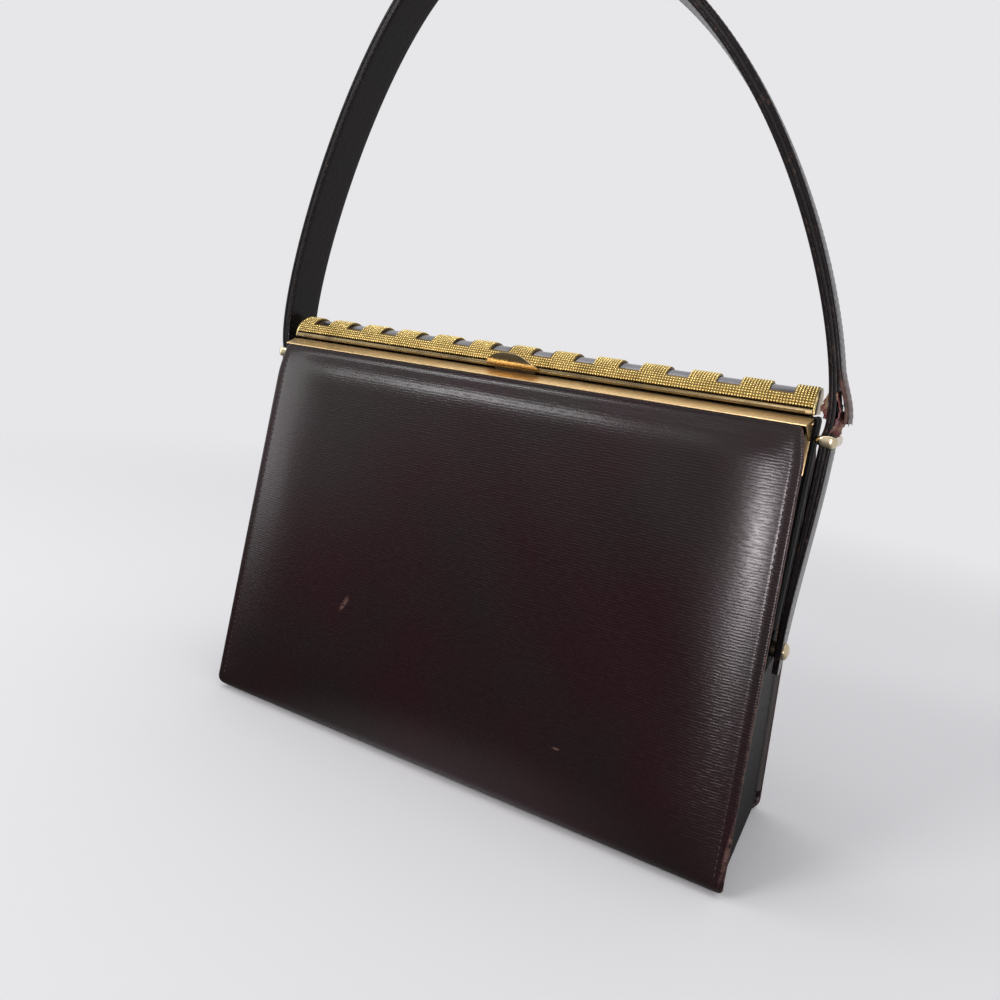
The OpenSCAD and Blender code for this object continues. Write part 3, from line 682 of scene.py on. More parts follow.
def panel_rows(side, start_y, top, wall_rows=100, inset=0.0):
    """From the base at y = side * start_y, round the bottom edge and up to the top."""
    base_rows, turn_rows, top_rows = 6, 12, 6
    centre, radius = half_depth(BOTTOM_R) - BOTTOM_R / math.cos(LEAN), BOTTOM_R - inset
    rows = [(side * (start_y + (centre - start_y) * i / base_rows), inset, 0.0, -1.0)
            for i in range(base_rows)]
    for i in range(turn_rows + 1):
        a = math.pi / 2 - (math.pi / 2 + LEAN) * i / turn_rows
        rows.append((side * (centre + radius * math.cos(a)), BOTTOM_R - radius * math.sin(a),
                     side * math.cos(a), -math.sin(a)))
    low, high, plain_rows = rows[-1][1], top - TOP_R, wall_rows - top_rows
    heights = [low + (high - low) * i / plain_rows for i in range(1, plain_rows + 1)]
    heights += [high + TOP_R * math.sin(k * math.pi / 2 / top_rows)
                for k in range(1, top_rows + 1)]
    for z in heights:
        rows.append((side * (half_depth(z) - inset / math.cos(LEAN)), z, side * math.cos(LEAN),
                     math.sin(LEAN)))
    run, out = 0.0, []
    for i, row in enumerate(rows):
        if i:
            run += math.dist(row[:2], rows[i - 1][:2])
        out.append(row + (run,))
    return out

def swell(distance, width):
    """From 0 at an edge to 1 at the given width, steepest at the edge."""
    left = 1 - min(1.0, max(0.0, distance / width))
    return 1 - left ** 2.6

def panel_bulge(x, z):
    """How far the padded leather stands off a flat wall, with the faint waves of a used bag."""
    inside = half_width(z) - SEAM_IN - abs(x)
    full = swell(inside, 32.0) * swell(160.3 - z, 13.0) * swell(z - 3.0, 34.0)
    waves = 0.16 * math.sin(x / 19 + 1.1) * math.sin(z / 27 + 0.4)
    waves += 0.07 * math.sin(x / 7.3 + z / 11)
    return (3.3 + waves) * full

# %% Front skin
columns = spread(121, 0.75)
front_rows = panel_rows(-1, 18.0, SKIN_TOP)
front_skin = sheet_mesh("front_skin", front_rows, columns, LEATHER_T, panel_bulge, calf, skin_half)
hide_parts("front_lower_leather", "front_flex_leather", "front_upper_leather")
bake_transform(front_skin)
print("front skin:", len(front_skin.data.polygons), "faces")

# %% Back and base in one skin
back_rows = panel_rows(1, -18.0, SKIN_TOP)
back_skin = sheet_mesh("back_skin", back_rows, columns, LEATHER_T, panel_bulge, calf, skin_half)
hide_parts("back_leather", "base_leather")
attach(back_skin, "body")
print("back skin:", len(back_skin.data.polygons), "faces")

# %% [markdown]
# ## Boards
# Stiff board under the leather keeps the walls flat. It stays hidden, but its nodes come from the
# CAD model and get a plain pressed fibre finish all the same.

# %% Board finish
def board_finish():
    material, tree = start_finish("fibre_board")
    fibres = noise(tree, surface_place(tree, source="Object"), 500.0, 5.0, 0.7)
    return end_finish(material, tree, {
        "Base Color": fibres.mix(rgb(0.20, 0.15, 0.10), rgb(0.34, 0.27, 0.19)),
        "Roughness": 0.85,
        "Normal": bump(tree, fibres, 0.0001),
    })

fibre_board = board_finish()
for node in ("back_board", "base_board", "front_lower_board", "front_upper_board"):
    for slot in frame["nodes"][node].material_slots:
        slot.material = fibre_board
print("boards are finished")

# %% [markdown]
# ## Lining
# The lining is glued inside the boards. It follows the same walls as the leather, only further in,
# so the same rows serve again with an inset.

# %% Lining skins
LINING_IN, LINING_T = 3.1, 0.8

def lining_width(z):
    return half_width(max(z, 5.0)) - 3.45

def lining_bulge(x, z):
    soft = ease((z - 10) / 30) * (1 - ease((z - 130) / 30))
    return -0.35 * soft * (1 + math.sin(x / 13 + z / 31)) * (1 - (abs(x) / 118.0) ** 6)

lining_columns = spread(41, 0.3)
front_lining = sheet_mesh("front_lining_skin", panel_rows(-1, 30.0, BODY_H, 50, LINING_IN),
                          lining_columns, LINING_T, lining_bulge, lining_cloth, lining_width)
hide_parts("front_lower_lining", "front_upper_lining")
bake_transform(front_lining)
back_lining = sheet_mesh("back_lining_skin", panel_rows(1, -30.0, BODY_H, 50, LINING_IN),
                         lining_columns, LINING_T, lining_bulge, lining_cloth, lining_width)
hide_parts("back_lining", "base_lining")
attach(back_lining, "body")
print("linings:", len(front_lining.data.polygons) + len(back_lining.data.polygons), "faces")

# %% [markdown]
# ## Thin sheets in free shapes
# The sides, the folded gussets and the edge strips don't follow the walls' rows. Each is a grid of
# points. Solidify gives it a thickness, and Bevel rolls the cut edges.

# %% Grid sheet
WORN_RIM = 1.5  # millimetres from a cut edge to where the wear ends

def grid_sheet(name, patches, outward, thickness, material, roll=0.3):
    """patches: grids of points in millimetres. outward: the way that their faces look."""
    work = bmesh.new()
    uv_values, rim_values = [], []
    for rows in patches:
        grid = []
        for row in rows:
            line, u = [], 0.0
            whole_u = sum(math.dist(a, b) for a, b in zip(row, row[1:]))
            for c, point in enumerate(row):
                u += math.dist(point, row[c - 1]) if c else 0.0
                v, whole_v = math.dist(point, rows[0][c]), math.dist(rows[0][c], rows[-1][c])
                near = min(u, whole_u - u, v, whole_v - v)
                uv_values.append((u * MM, v * MM))
                rim_values.append(max(0.0, 1 - near / WORN_RIM))
                line.append(work.verts.new(Vector(point) * MM))
            grid.append(line)
        for low, high in zip(grid, grid[1:]):
            for i in range(len(low) - 1):
                face = work.faces.new((low[i], low[i + 1], high[i + 1], high[i]))
                face.normal_update()
                if face.normal.dot(Vector(outward)) < 0:
                    face.normal_flip()
    write_surface(work, uv_values, rim_values)
    obj = store(name, work, material)
    solid = obj.modifiers.new("thickness", "SOLIDIFY")
    solid.thickness = thickness * MM
    solid.offset = -1.0
    solid.use_even_offset = True
    roll_edges(obj, roll)
    smooth_below(obj.data, 55)
    return obj

def steps(low, high, count):
    return [low + (high - low) * i / (count - 1) for i in range(count)]

# %% [markdown]
# ## Sides
# Each side is a flat lower leather up to the foot of the frame arms, and above it a soft gusset
# that folds inwards when the bag is shut. The fold has a rounded spine and is a little creased.

# %% Side leathers and gussets
SIDE_TOP, SPINE_R = 74.0, 0.02

def side_rows(side):
    """A flat panel between the walls, a little hollow in its middle."""
    rows = []
    for z in steps(1.5, SIDE_TOP, 40):
        rounded = 0.175 * max(0.0, BOTTOM_R - z) ** 1.4
        reach = half_depth(max(z, BOTTOM_R)) - 1.55 - rounded
        hollow = 0.7 * ease(z / 12) * ease((SIDE_TOP - z) / 14 + 0.25)
        edge = half_width(max(z, 3.0)) - 2.0
        rows.append([(side * (edge - hollow * (1 - t * t) ** 2), reach * t, z)
                     for t in steps(-1, 1, 25)])
    return rows

def gusset_rows(side):
    """Flat at its foot, and folded inwards over a round spine further up."""
    rows = []
    for z in steps(66.0, 159.0, 60):
        low, high = ease((z - 68) / 9), ease((z - 72) / 34)
        edge = 113.75 - 2.55 * low
        fold = edge - 14.0 * high
        reach = half_depth(z) - 4.25
        row = []
        for t in steps(-1, 1, 33):
            share = math.sqrt(t * t + SPINE_R) - math.sqrt(SPINE_R)
            share /= math.sqrt(1 + SPINE_R) - math.sqrt(SPINE_R)
            crease = 0.35 * high * math.sin(z / 5.5 + 4 * abs(t)) * (1 - t * t) * (1 - share)
            row.append((side * (fold + (edge - fold) * share + crease), reach * t, z))
        rows.append(row)
    return rows

for side, word in ((-1, "left"), (1, "right")):
    outward = (side, 0, 0)
    leather = grid_sheet("side_skin_" + word, [side_rows(side)], outward, LEATHER_T, side_calf)
    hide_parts("side_leather_" + word)
    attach(leather, "body")
    gusset = grid_sheet("gusset_skin_" + word, [gusset_rows(side)], outward, 0.9, black_calf)
    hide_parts("gusset_" + word)
    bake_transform(gusset)
    print("side and gusset,", word)

# %% [markdown]
# ## Turned edges
# Along the sides each wall ends in layers: the outer leather, a thin strip and the lining's own
# turned edge. From the side the strips show as two fine pale lines beside the leather, because they
# are painted a pale grey as a painted highlight on their edges.

# %% Edge strips
# Each strip: its depth behind the wall's face, its distance from the side edge and its width.
STRIPS = ((1.65, 0.45, 2.2), (2.75, 0.95, 2.0))

def strip_patches(side_y):
    patches = []
    for depth, inset, wide in STRIPS:
        for side in (-1, 1):
            rows = []
            for z in steps(9.0, 160.0, 50):
                y = side_y * (half_depth(z) - depth)
                x = half_width(z) - inset
                rows.append([(side * (x - wide), y, z), (side * x, y, z)])
            patches.append(rows)
    return patches

front_strips = grid_sheet("front_edge_strips", strip_patches(-1), (0, -1, 0), 0.7, strip_calf_highlight, 0.2)
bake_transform(front_strips)
back_strips = grid_sheet("back_edge_strips", strip_patches(1), (0, 1, 0), 0.7, strip_calf_highlight, 0.2)
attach(back_strips, "body")
print("edge strips:", len(front_strips.data.polygons), "faces each")

# %% [markdown]
# ## Leather on the frame arms
# The brass arms at the sides are wrapped in thin black leather, down over the round eyes at the
# hinge. The covers keep the shape of their nodes with much rounder edges. The eye covers are
# turned discs.

# %% Arm covers and turned pieces
STUD_Z = 81.0
COVER_OUTLINE = [(114.42, 88.0), (114.9, 88.2), (115.02, 89.0), (115.02, 164.2), (114.85, 165.1),
                 (114.4, 165.75), (113.7, 166.05), (113.3, 166.0), (113.25, 165.72),
                 (114.42, 165.72)]

def arm_cover(name, node, y_low, y_high):
    work = bmesh.new()
    for side in (-1, 1):
        ends = [[work.verts.new(Vector((side * x, y, z)) * MM) for x, z in COVER_OUTLINE]
                for y in (y_low, y_high)]
        join_rings(work, ends)
        for end in ends:
            work.faces.new(end)
    bmesh.ops.recalc_face_normals(work, faces=work.faces)
    obj = store(name, work, black_calf)
    roll_edges(obj, 0.2)
    smooth_below(obj.data, 55)
    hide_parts(node)
    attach(obj, BODY_OF[node])

arm_cover("front_cover_leather", "front_arm_covers", -9.7, -0.15)
arm_cover("rear_cover_leather", "rear_arm_covers", 0.15, 9.7)

def ring_about(work, x, y, z, radius, count):
    """A ring of vertices about a line along x, or one vertex where the radius is nothing."""
    if radius == 0.0:
        return [work.verts.new(Vector((x, y, z)) * MM)]
    turns = (2 * math.pi * i / count for i in range(count))
    return [work.verts.new(Vector((x, y + radius * math.cos(a), z + radius * math.sin(a))) * MM)
            for a in turns]

def turned_pair(name, outline, material):
    """Two turned pieces about the hinge line, left and right. outline: (x, radius) pairs."""
    work = bmesh.new()
    for side in (-1, 1):
        join_rings(work, [ring_about(work, side * x, 0.0, STUD_Z, r, 40) for x, r in outline])
    obj = finish_piece(name, work, material)
    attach(obj, "body")

disc = [(114.46, 3.2), (114.46, 7.0), (114.7, 7.25), (115.05, 7.2), (115.25, 6.9), (115.3, 6.2),
        (115.3, 3.3), (115.1, 3.15), (114.46, 3.2)]
turned_pair("eye_covers", disc, black_calf)
dome = [(119.3, 0.0), (119.3, 2.9), (119.42, 3.25), (119.62, 3.3)]
dome += [(119.6 + 1.95 * math.sin(a), 3.3 * math.cos(a))
         for a in steps(0.12, math.pi / 2 - 0.12, 8)]
dome += [(121.56, 0.0)]
turned_pair("stud_domes", dome, pale_brass)
print("covers, eyes and domes are in place")

# %% [markdown]
# ## The strap
# The handle is one strap: two leathers glued on a stiff core, with painted, rounded edges. It runs
# from the tip below one stud, through the keeper, over the top and down to the other tip. The
# centre line is two straight tails and two Bezier legs. Each layer is a closed loop that is moved
# along the line, square to it, and gets thinner and narrower towards the tips.

# %% Centre line of the strap
STRAP_X, TAIL_TOP, ARCH_TOP = 119.4, 160.3, (-36.7, 334.0)
LEFT_LEG = ((-STRAP_X, TAIL_TOP), (-128.37, 185.34), (-88.9, 334.0), ARCH_TOP)
RIGHT_LEG = ((STRAP_X, TAIL_TOP), (126.28, 179.51), (75.3, 334.0), ARCH_TOP)
TIP_Z, TIP_R, STRAP_HALF, STRAP_T = 77.0, 5.2, 9.25, 4.1

def bezier(points, t):
    a, b, c, d = (Vector(p) for p in points)
    s = 1 - t
    return a * s ** 3 + b * 3 * s * s * t + c * 3 * s * t * t + d * t ** 3

def strap_line():
    heights = steps(TIP_Z - TIP_R + 0.02, STUD_Z, 22)[:-1] + steps(STUD_Z, TAIL_TOP, 45)[:-1]
    tail = [Vector((-STRAP_X, z)) for z in heights]
    left = [bezier(LEFT_LEG, t) for t in steps(0, 1, 90)]
    right = [bezier(RIGHT_LEG, t) for t in steps(1, 0, 130)[1:]]
    down = [Vector((-p.x, p.y)) for p in reversed(tail)]
    return tail + left + right + down

def outer_face(z):
    """How far the outer face of the strap stands from its middle. The tails are thinner."""
    return STRAP_T / 2 if z > 150.0 else 0.1 + 1.95 * ease((z - 87.0) / 63.0)

def strap_half(z):
    """Half the width of the strap. It narrows towards the round tips."""
    if z < TIP_Z:
        return math.sqrt(max(0.04, TIP_R ** 2 - (TIP_Z - z) ** 2))
    return TIP_R + (STRAP_HALF - TIP_R) * math.sin(min(1.0, (z - TIP_Z) / 30.0) * math.pi / 2)

line = strap_line()
stations = []
for i, point in enumerate(line):
    ahead = (line[min(i + 1, len(line) - 1)] - line[max(i - 1, 0)]).normalized()
    stations.append((point, Vector((-ahead.y, ahead.x))))
length = sum((b - a).length for a, b in zip(line, line[1:]))
print("strap length:", round(length, 1), "mm in", len(line), "stations")

# %% Layers of the strap
def round_edge(y, height, radius, low_turn, high_turn):
    """Points on a quarter circle about (y, height). Turns are counted in half circles."""
    return [(y + radius * math.cos(a * math.pi), height + radius * math.sin(a * math.pi))
            for a in steps(low_turn, high_turn, 5)]

def layer_loop(half, low, high, round_low, round_high, crown):
    """One loop across the strap: (y, height) pairs, counter-clockwise from the outer face."""
    round_low, round_high = (min(r, 0.48 * (high - low)) for r in (round_low, round_high))
    flat, outer_flat = half - round_low, half - round_high
    loop = [(outer_flat * t, high + crown * (1 - t * t)) for t in steps(1, -1, 11)]
    loop += round_edge(-outer_flat, high - round_high, round_high, 0.5, 1.0)[1:]
    loop += round_edge(-flat, low + round_low, round_low, 1.0, 1.5)
    loop += [(flat * t, low) for t in steps(-1, 1, 9)[1:]]
    loop += round_edge(flat, low + round_low, round_low, 1.5, 2.0)[1:]
    return loop + round_edge(flat, high - round_high, round_high, 0.0, 0.5)[:-1]

def strap_layer(name, share_low, share_high, narrower, rounds, crown, material, part=None,
                lift=None):
    """The shares say where the layer lies in the thickness. part: its first and last station."""
    work = bmesh.new()
    uv_values, rim_values, rings, run = [], [], [], 0.0
    for i, (point, normal) in enumerate(stations):
        run += (point - stations[i - 1][0]).length if i else 0.0
        if part and not part[0] <= i < part[1]:
            continue
        low = -STRAP_T / 2
        thick = outer_face(point.y) - low
        half = strap_half(point.y) - narrower
        shift = lift(point) if lift else 0.0
        ring = []
        for y, height in layer_loop(half, low + share_low * thick, low + share_high * thick,
                                    *rounds, crown * min(1.0, thick / STRAP_T) ** 3):
            place = point + normal * (height + shift)
            ring.append(work.verts.new(Vector((place.x, y, place.y)) * MM))
            uv_values.append((run * MM, (y + height) * MM))
            rim_values.append(max(0.0, 1 - (half - abs(y)) / 1.4))
        rings.append(ring)
    join_rings(work, rings)
    for ring in (rings[0], rings[-1]):
        work.faces.new(ring)
    return finish_piece(name, work, material, (uv_values, rim_values))

# %% Four layers, one of them torn
TORN_HIGH, TORN_LOW = 165.0, 162.4  # between them the outer leather is missing on the right

def first_station_below(z):
    return min(i for i, (point, _) in enumerate(stations) if point.x > 0 and point.y < z)

def peel(point):
    """How far the torn outer leather stands off the core above the right keeper."""
    return 2.9 * ease((184.0 - point.y) / 19.0) if point.x > 0 else 0.0

torn_end, next_start = first_station_below(TORN_HIGH), first_station_below(TORN_LOW)
strap_outer = strap_layer("strap_outer", 0.66, 1.0, 0.0, (0.1, 1.0), 0.35, strap_calf,
                          (0, torn_end), peel)
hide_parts("handle_outer_leather", "strap_tail_left")
strap_tail = strap_layer("strap_tail", 0.66, 1.0, 0.0, (0.1, 1.0), 0.35, strap_calf,
                         (next_start, len(stations)))
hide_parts("strap_tail_right")
strap_core = strap_layer("strap_core", 0.345, 0.655, 0.22, (0.12, 0.12), 0.0, painted_edge)
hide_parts("handle_core")
strap_inner = strap_layer("strap_inner", 0.0, 0.34, 0.0, (1.0, 0.1), 0.0, strap_calf)
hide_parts("handle_inner_leather")
for layer in (strap_outer, strap_tail, strap_core, strap_inner):
    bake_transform(layer)
    print(layer.name, len(layer.data.polygons), "faces")

# %% [markdown]
# ## The torn place
# Above the right keeper the strap has torn in use. The outer leather has come off the core, ragged
# fibres show under it, and a small flap of the inner leather curls towards the bag. The rags are
# small grids whose points are jittered with a fixed seed.

# %% Torn fibres and flap
def leg_place(z, height, y):
    """A point beside the right leg, at a height square to the strap."""
    near = min((s for s in stations if s[0].x > 0), key=lambda s: abs(s[0].y - z))
    place = near[0] + near[1] * height
    return Vector((place.x, y, place.y + (z - near[0].y)))

def rag(rows, columns, jitter, seed, place):
    """A grid of places, pushed about at random, and most at its edges."""
    rng = random.Random(seed)
    grid = []
    for i in range(rows):
        grid.append([])
        for j in range(columns):
            rough = jitter if i in (0, rows - 1) or j in (0, columns - 1) else 0.35 * jitter
            push = Vector([rng.uniform(-rough, rough) for _ in range(3)])
            grid[-1].append(tuple(place(i / (rows - 1), j / (columns - 1)) + push))
    return grid

# In each rag u runs up the leg and v across it, and the height is square to the strap.
fibres = [
    rag(12, 16, 0.45, 3, lambda u, v: leg_place(162.0 + 13.5 * u, 0.8 + 1.3 * math.sin(
        3.0 * u) ** 2 * (1 - 0.5 * v), -9.3 + 15.0 * v)),
    rag(7, 7, 0.5, 8, lambda u, v: leg_place(161.6 + 4.2 * u, 1.6 + 1.5 * v + 0.8 * u,
                                             -9.4 + 3.0 * v)),
    rag(6, 6, 0.4, 5, lambda u, v: leg_place(164.0 + 5.0 * u, 1.6 + 1.2 * v, 3.0 + 4.0 * v)),
]
torn_fibres = grid_sheet("torn_fibres", fibres, (1, 0, 0), 0.5, torn_leather, 0.1)
flap = [
    rag(9, 8, 0.22, 11, lambda u, v: leg_place(
        167.2 + 8.0 * u + (169.8 - 167.2 - 8.0 * u) * 0.75 * v,
        -2.0 - 2.25 * v * (1 - 0.3 * u), -9.3 + 2.8 * (1 - v) * u)),
    rag(6, 6, 0.25, 13, lambda u, v: leg_place(166.4 + 4.0 * u, -2.0 - 1.3 * v * (1 - u),
                                               -8.6 + 1.2 * u)),
]
torn_flap = grid_sheet("torn_flap", flap, (0, -1, 0), 0.5, torn_leather, 0.1)
for piece in (torn_fibres, torn_flap):
    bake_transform(piece)
print("torn place:", len(torn_fibres.data.polygons) + len(torn_flap.data.polygons), "faces")

# %% [markdown]
# ## Keepers
# A cast brass band holds the strap to the frame. From the front it is an oval that is pointed
# towards the bag and blunt at the outside. Here its section is carried round the strap, and its
# height changes with the distance from the bag. A short rivet joins it to the arm.

# %% Keeper bands
KEEPER_Z, RIVET_Y = 158.7, 4.75
RIVET = ((112.62, 0.0), (112.62, 0.75), (114.98, 0.75), (115.05, 1.15), (116.2, 1.15), (116.2, 0.0))

def keeper_half(x):
    """Half the height of the band at a distance x from the middle of the bag."""
    if x < 119.6:
        return 0.35 + 1.75 * max(0.0, 1 - ((119.6 - x) / 4.3) ** 1.7)
    return 2.1 * max(0.0, 1 - ((x - 119.6) / 4.15) ** 3) ** 0.5

def keeper_plan(inner_x, inner_y, corner):
    """Places round the strap, seen from above: the middle of a corner and the way outwards."""
    plan = []
    for sx, sy, start in ((1, 1, 0), (-1, 1, 90), (-1, -1, 180), (1, -1, 270)):
        for a in steps(start, start + 90, 7):
            plan.append((Vector((sx * (inner_x - corner), sy * (inner_y - corner))),
                         Vector((math.cos(math.radians(a)), math.sin(math.radians(a))))))
    dense = []
    for (centre, out), (next_centre, next_out) in zip(plan, plan[1:] + plan[:1]):
        parts = 8 if (next_centre - centre).length > 0.1 else 1
        dense += [(centre.lerp(next_centre, i / parts), out.lerp(next_out, i / parts).normalized())
                  for i in range(parts)]
    return dense

def keeper_band(name, side):
    work = bmesh.new()
    wall, corner = 1.45, 0.9
    rings = []
    for centre, out in keeper_plan(2.25, 9.5, corner):
        ring = []
        for a in steps(0, 2 * math.pi, 17)[:-1]:
            reach = corner + wall / 2 + wall / 2 * math.cos(a)
            flat = centre + out * reach
            x = STRAP_X + flat.x
            up = keeper_half(x) * math.copysign(abs(math.sin(a)) ** 0.6, math.sin(a))
            ring.append(work.verts.new(Vector((side * x, flat.y, KEEPER_Z + up)) * MM))
        rings.append(ring)
    join_rings(work, rings + rings[:1])
    join_rings(work, [ring_about(work, side * x, RIVET_Y, KEEPER_Z, r, 16) for x, r in RIVET])
    return finish_piece(name, work, pale_brass)

for side, word in ((-1, "left"), (1, "right")):
    band = keeper_band("keeper_band_" + word, side)
    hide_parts("keeper_" + word)
    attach(band, "body")
    print(band.name, len(band.data.polygons), "faces")

# %% [markdown]
# ## Lip of the bar and a dark pad in its gap
# The plate under the beaded cover ends in a narrow rolled lip at the front, in brass painted dark
# as shade. A thin dark pad on the rear rail is put in the gap under the bar as painted shade, and
# it keeps light out of the gap.

# %% Lip and dark pad
def bar_run(name, outline, x_low, x_high, material):
    """A closed outline of (y, z) drawn out along x."""
    work = bmesh.new()
    ends = [[work.verts.new(Vector((x, y, z)) * MM) for y, z in outline] for x in (x_low, x_high)]
    join_rings(work, ends)
    for end in ends:
        work.faces.new(end)
    return finish_piece(name, work, material)

def oval(y, z, half_y, half_z, count=20):
    return [(y + half_y * math.cos(a), z + half_z * math.sin(a))
            for a in steps(0, 2 * math.pi, count + 1)[:-1]]

bar_lip = bar_run("bar_lip", oval(-9.3, 167.42, 0.28, 0.36), -109.0, 111.0, recess_shade_brass)
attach(bar_lip, "clasp_bar")
# A dark pad that fills the gap under the bar as painted shade.
gap_shade_pad = bar_run("gap_shade_pad", [(1.0, 165.68), (7.4, 165.68), (7.4, 166.2), (7.0, 166.5),
                                (1.4, 166.5), (1.0, 166.2)], -112.0, 112.0, black_calf)
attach(gap_shade_pad, "body")
print("lip and seat are in place")

# %% [markdown]
# ## Stitches
# The seams are rows of short waxed stitches. The tree below turns a drawn line into a curve, sets
# points on it at the stitch pitch, and puts a small grain of thread on each point. The thread lies
# along the line and stands on the surface, whose direction is stored on the line as stitch_up.

# %% Stitch tree
GRAIN_SEGMENTS, GRAIN_RINGS = 6, 5
STITCH_PITCH = 2.4

def stitch_tree(thread):
    tree, wire, take = new_tree("stitches", [
        ("Pitch", "NodeSocketFloat"), ("Stitch length", "NodeSocketFloat"),
        ("Thread", "NodeSocketFloat")])
    curve = wire.add("GeometryNodeMeshToCurve", inputs={"Mesh": take["Geometry"]})
    points = wire.add("GeometryNodeResampleCurve", {"mode": "LENGTH"}, {
        "Curve": curve, "Length": take["Pitch"]})
    turn = wire.add("FunctionNodeAlignRotationToVector", {"axis": "X"}, {
        "Vector": wire.add("GeometryNodeInputTangent")})
    turn = wire.add("FunctionNodeAlignRotationToVector", {"axis": "Z", "pivot_axis": "X"}, {
        "Rotation": turn,
        "Vector": wire.add("GeometryNodeInputNamedAttribute", {"data_type": "FLOAT_VECTOR"},
                           {"Name": "stitch_up"})})
    grain = wire.add("GeometryNodeMeshUVSphere", inputs={
        "Segments": GRAIN_SEGMENTS, "Rings": GRAIN_RINGS, "Radius": 0.5}, out="Mesh")
    grain = wire.add("GeometryNodeTransform", inputs={
        "Geometry": grain, "Rotation": (0.0, math.pi / 2, 0.0),
        "Scale": wire.add("ShaderNodeCombineXYZ", inputs={
            "X": take["Thread"], "Y": take["Thread"], "Z": take["Stitch length"]})})
    grains = wire.add("GeometryNodeInstanceOnPoints", inputs={
        "Points": points, "Instance": grain, "Rotation": turn})
    end_tree(wire, grains, thread)
    return tree

def stitched(name, lines, length, thickness, thread):
    """lines: lists of (point, up) in millimetres."""
    places, edges, ups = [], [], []
    for line in lines:
        for k, (point, up) in enumerate(line):
            if k:
                edges.append((len(places) - 1, len(places)))
            places.append(Vector(point) * MM)
            ups.extend(Vector(up).normalized())
    mesh = bpy.data.meshes.new(name)
    mesh.from_pydata(places, edges, [])
    mesh.attributes.new("stitch_up", "FLOAT_VECTOR", "POINT").data.foreach_set("vector", ups)
    obj = link(bpy.data.objects.new(name, mesh))
    run_tree(obj, stitch_tree(thread), {"Pitch": STITCH_PITCH * MM, "Stitch length": length * MM,
                                        "Thread": thickness * MM}, thread)
    return obj

# %% Seams of the walls
def wall_seams(rows):
    """A line near each side edge, on the bulged face of the leather."""
    lines = []
    for side in (-1, 1):
        line = []
        for y, z, ny, nz, _ in rows:
            if SEAM_LOW <= z <= SEAM_HIGH and abs(ny) > 0.5:
                x = side * (half_width(z) - SEAM_IN)
                out = panel_bulge(x, z) + 0.02
                line.append(((x, y + ny * out, z + nz * out), (0, ny, nz)))
        lines.append(line)
    return lines

front_seams = stitched("front_seams", wall_seams(front_rows), 1.8, 0.55, brown_thread)
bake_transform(front_seams)
back_seams = stitched("back_seams", wall_seams(back_rows), 1.8, 0.55, brown_thread)
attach(back_seams, "body")

# %% Seams of the strap and the sides
def strap_seams(height_of, up_sign):
    """Two lines along the strap. On the outer face they end at the torn place and begin again."""
    lines = []
    for side in (-1, 1):
        line = []
        for i, (point, normal) in enumerate(stations):
            if point.y > TIP_Z - 2:
                if up_sign > 0 and torn_end <= i < next_start:
                    lines.append(line)
                    line = []
                    continue
                lifted = peel(point) if up_sign > 0 and i < torn_end else 0.0
                place = point + normal * (height_of(point) + lifted)
                line.append(((place.x, side * (strap_half(point.y) - 2.1), place.y),
                             (normal.x * up_sign, 0, normal.y * up_sign)))
        lines.append(line)
    return [line for line in lines if len(line) > 1]

def outer_seam_height(point):
    crowned = 0.09 if point.y > 150.0 else 0.0
    return outer_face(point.y) + crowned - 0.03

strap_lines = strap_seams(outer_seam_height, 1) + strap_seams(lambda point: -2.0, -1)
strap_thread = stitched("strap_seams", strap_lines, 1.7, 0.24, black_thread)
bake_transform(strap_thread)

side_lines = [
    [((side * (half_width(z) - 2.0), end * (half_depth(z) - 4.4), z), (side, 0, 0))
     for z in steps(8, 72, 40)]
    for side in (-1, 1) for end in (-1, 1)
]
side_seams = stitched("side_seams", side_lines, 1.7, 0.42, black_thread)
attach(side_seams, "body")
seams = (front_seams, back_seams, strap_thread, side_seams)
print("stitches:", sum(len(seam.data.polygons) for seam in seams)
      // (GRAIN_SEGMENTS * GRAIN_RINGS))

# %% [markdown]
# ## Studio
# The bag stands on a pale floor in soft light. The floor takes the shadow near the bag and fades
# into the colour of the background further out, so that no horizon shows. Metal mirrors the pale
# background as well. Polished dark leather looks dark only where it mirrors something dark, so
# mirrored rays find one dim side, low down in front of the bag.

# %% Rays and the dim side
PALE, MATT, SKY = rgb(0.80, 0.79, 0.81), rgb(0.82, 0.81, 0.82), rgb(0.95, 0.96, 1.0)

def mirrored_rays(tree):
    """1 for a ray that metal, gloss or glass has sent on."""
    glossy = tree.add("ShaderNodeLightPath", out="Is Glossy Ray")
    return glossy.maths("MAXIMUM", tree.add("ShaderNodeLightPath", out="Is Transmission Ray"))

def in_front(tree, place):
    """1 low down on the dim side in front of the bag, 0 at the sides and behind it."""
    toward = tree.add("ShaderNodeVectorMath", {"operation": "NORMALIZE"}, {0: place})
    facing = tree.add("ShaderNodeVectorMath", {"operation": "DOT_PRODUCT"},
                      {0: toward, 1: (-0.12, -0.993, 0.0)}, out="Value")
    up = tree.add("ShaderNodeSeparateXYZ", inputs={0: toward}, out="Z")
    return facing.step(0.72, 0.985) * (1 - up.step(0.02, 0.22))

def mixed(tree, share, first, second):
    return tree.add("ShaderNodeMixShader", inputs={0: share, 1: first, 2: second})

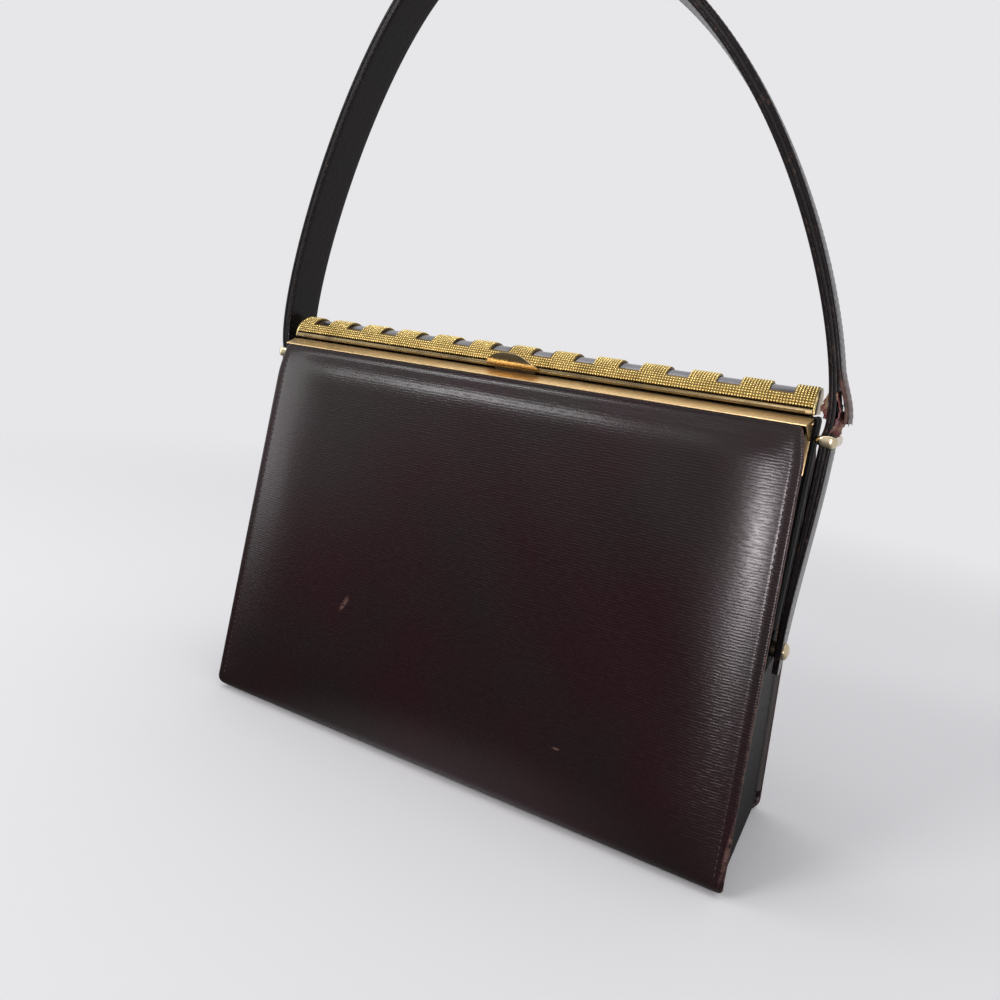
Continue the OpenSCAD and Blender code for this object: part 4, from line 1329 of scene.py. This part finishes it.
# %% Floor
def floor_finish():
    material, tree = start_finish("floor")
    place = tree.add("ShaderNodeTexCoord", out="Object")
    away = tree.add("ShaderNodeVectorMath", {"operation": "LENGTH"}, {0: place}, out="Value")
    seen = tree.add("ShaderNodeLightPath", out="Is Camera Ray")
    mirrored = mirrored_rays(tree)
    dim = mirrored * in_front(tree, tree.add("ShaderNodeMapping", inputs={
        "Vector": place, "Location": (0.0, -0.45, 0.0)}))
    bright, dull = (tree.add("ShaderNodeEmission", inputs={"Color": PALE, "Strength": strength})
                    for strength in (1.0, 0.1))
    matt = tree.add("ShaderNodeBsdfDiffuse", inputs={"Color": MATT})
    share = seen * away.step(0.3, 0.9) + mirrored * away.step(0.03, 0.12)
    surface = mixed(tree, share, matt, mixed(tree, dim, bright, dull))
    tree.add("ShaderNodeOutputMaterial", inputs={"Surface": surface})
    return material

def make_floor(size):
    mesh = bpy.data.meshes.new("floor")
    corners = [(-size, -size, 0), (size, -size, 0), (size, size, 0), (-size, size, 0)]
    mesh.from_pydata(corners, [], [(0, 1, 2, 3)])
    mesh.materials.append(floor_finish())
    floor = link(bpy.data.objects.new("floor", mesh))

# %% World
def make_world(side_light, front_light):
    """Soft light from the sides, the back and above, and a dim side in front of the bag."""
    world = bpy.data.worlds.new("studio")
    world.use_nodes = True
    world.node_tree.nodes.clear()
    tree = Wire(world.node_tree)

    def light(colour, strength):
        return tree.add("ShaderNodeBackground", inputs={"Color": colour, "Strength": strength})

    dim = in_front(tree, tree.add("ShaderNodeTexCoord", out="Generated"))
    seen = tree.add("ShaderNodeLightPath", out="Is Camera Ray")
    seen = seen.maths("MAXIMUM", mirrored_rays(tree) * (1 - dim))
    soft = mixed(tree, dim, light(SKY, side_light), light(SKY, front_light))
    whole = mixed(tree, seen, soft, light(PALE, 1.0))
    tree.add("ShaderNodeOutputWorld", inputs={"Surface": whole})
    bpy.context.scene.world = world

make_floor(6.0)
make_world(side_light=0.53, front_light=0.05)

# %% Lamps
def soft_lamp(name, place, size, power, colour=(1, 1, 1)):
    """A rectangular lamp that looks at the middle of the bag. Places and sizes are in metres."""
    data = bpy.data.lights.new(name, "AREA")
    data.shape = "RECTANGLE"
    data.size, data.size_y = size
    data.energy = power
    data.color = colour
    lamp = link(bpy.data.objects.new(name, data))
    lamp.location = place
    toward = Vector((0, 0, 0.1)) - Vector(place)
    lamp.rotation_euler = toward.to_track_quat("-Z", "Y").to_euler()

soft_lamp("top_light", (0.0, -0.10, 1.25), (1.2, 0.8), 4.6)
soft_lamp("front_light", (-0.98, -1.44, 1.15), (0.6, 0.4), 11.0)
soft_lamp("edge_light", (0.51, -1.72, 0.25), (0.15, 0.10), 10.0, (1.0, 0.92, 0.95))
soft_lamp("left_light", (-1.15, -0.50, 0.35), (0.6, 0.9), 3.2)
bpy.context.scene.view_settings.view_transform = "Standard"
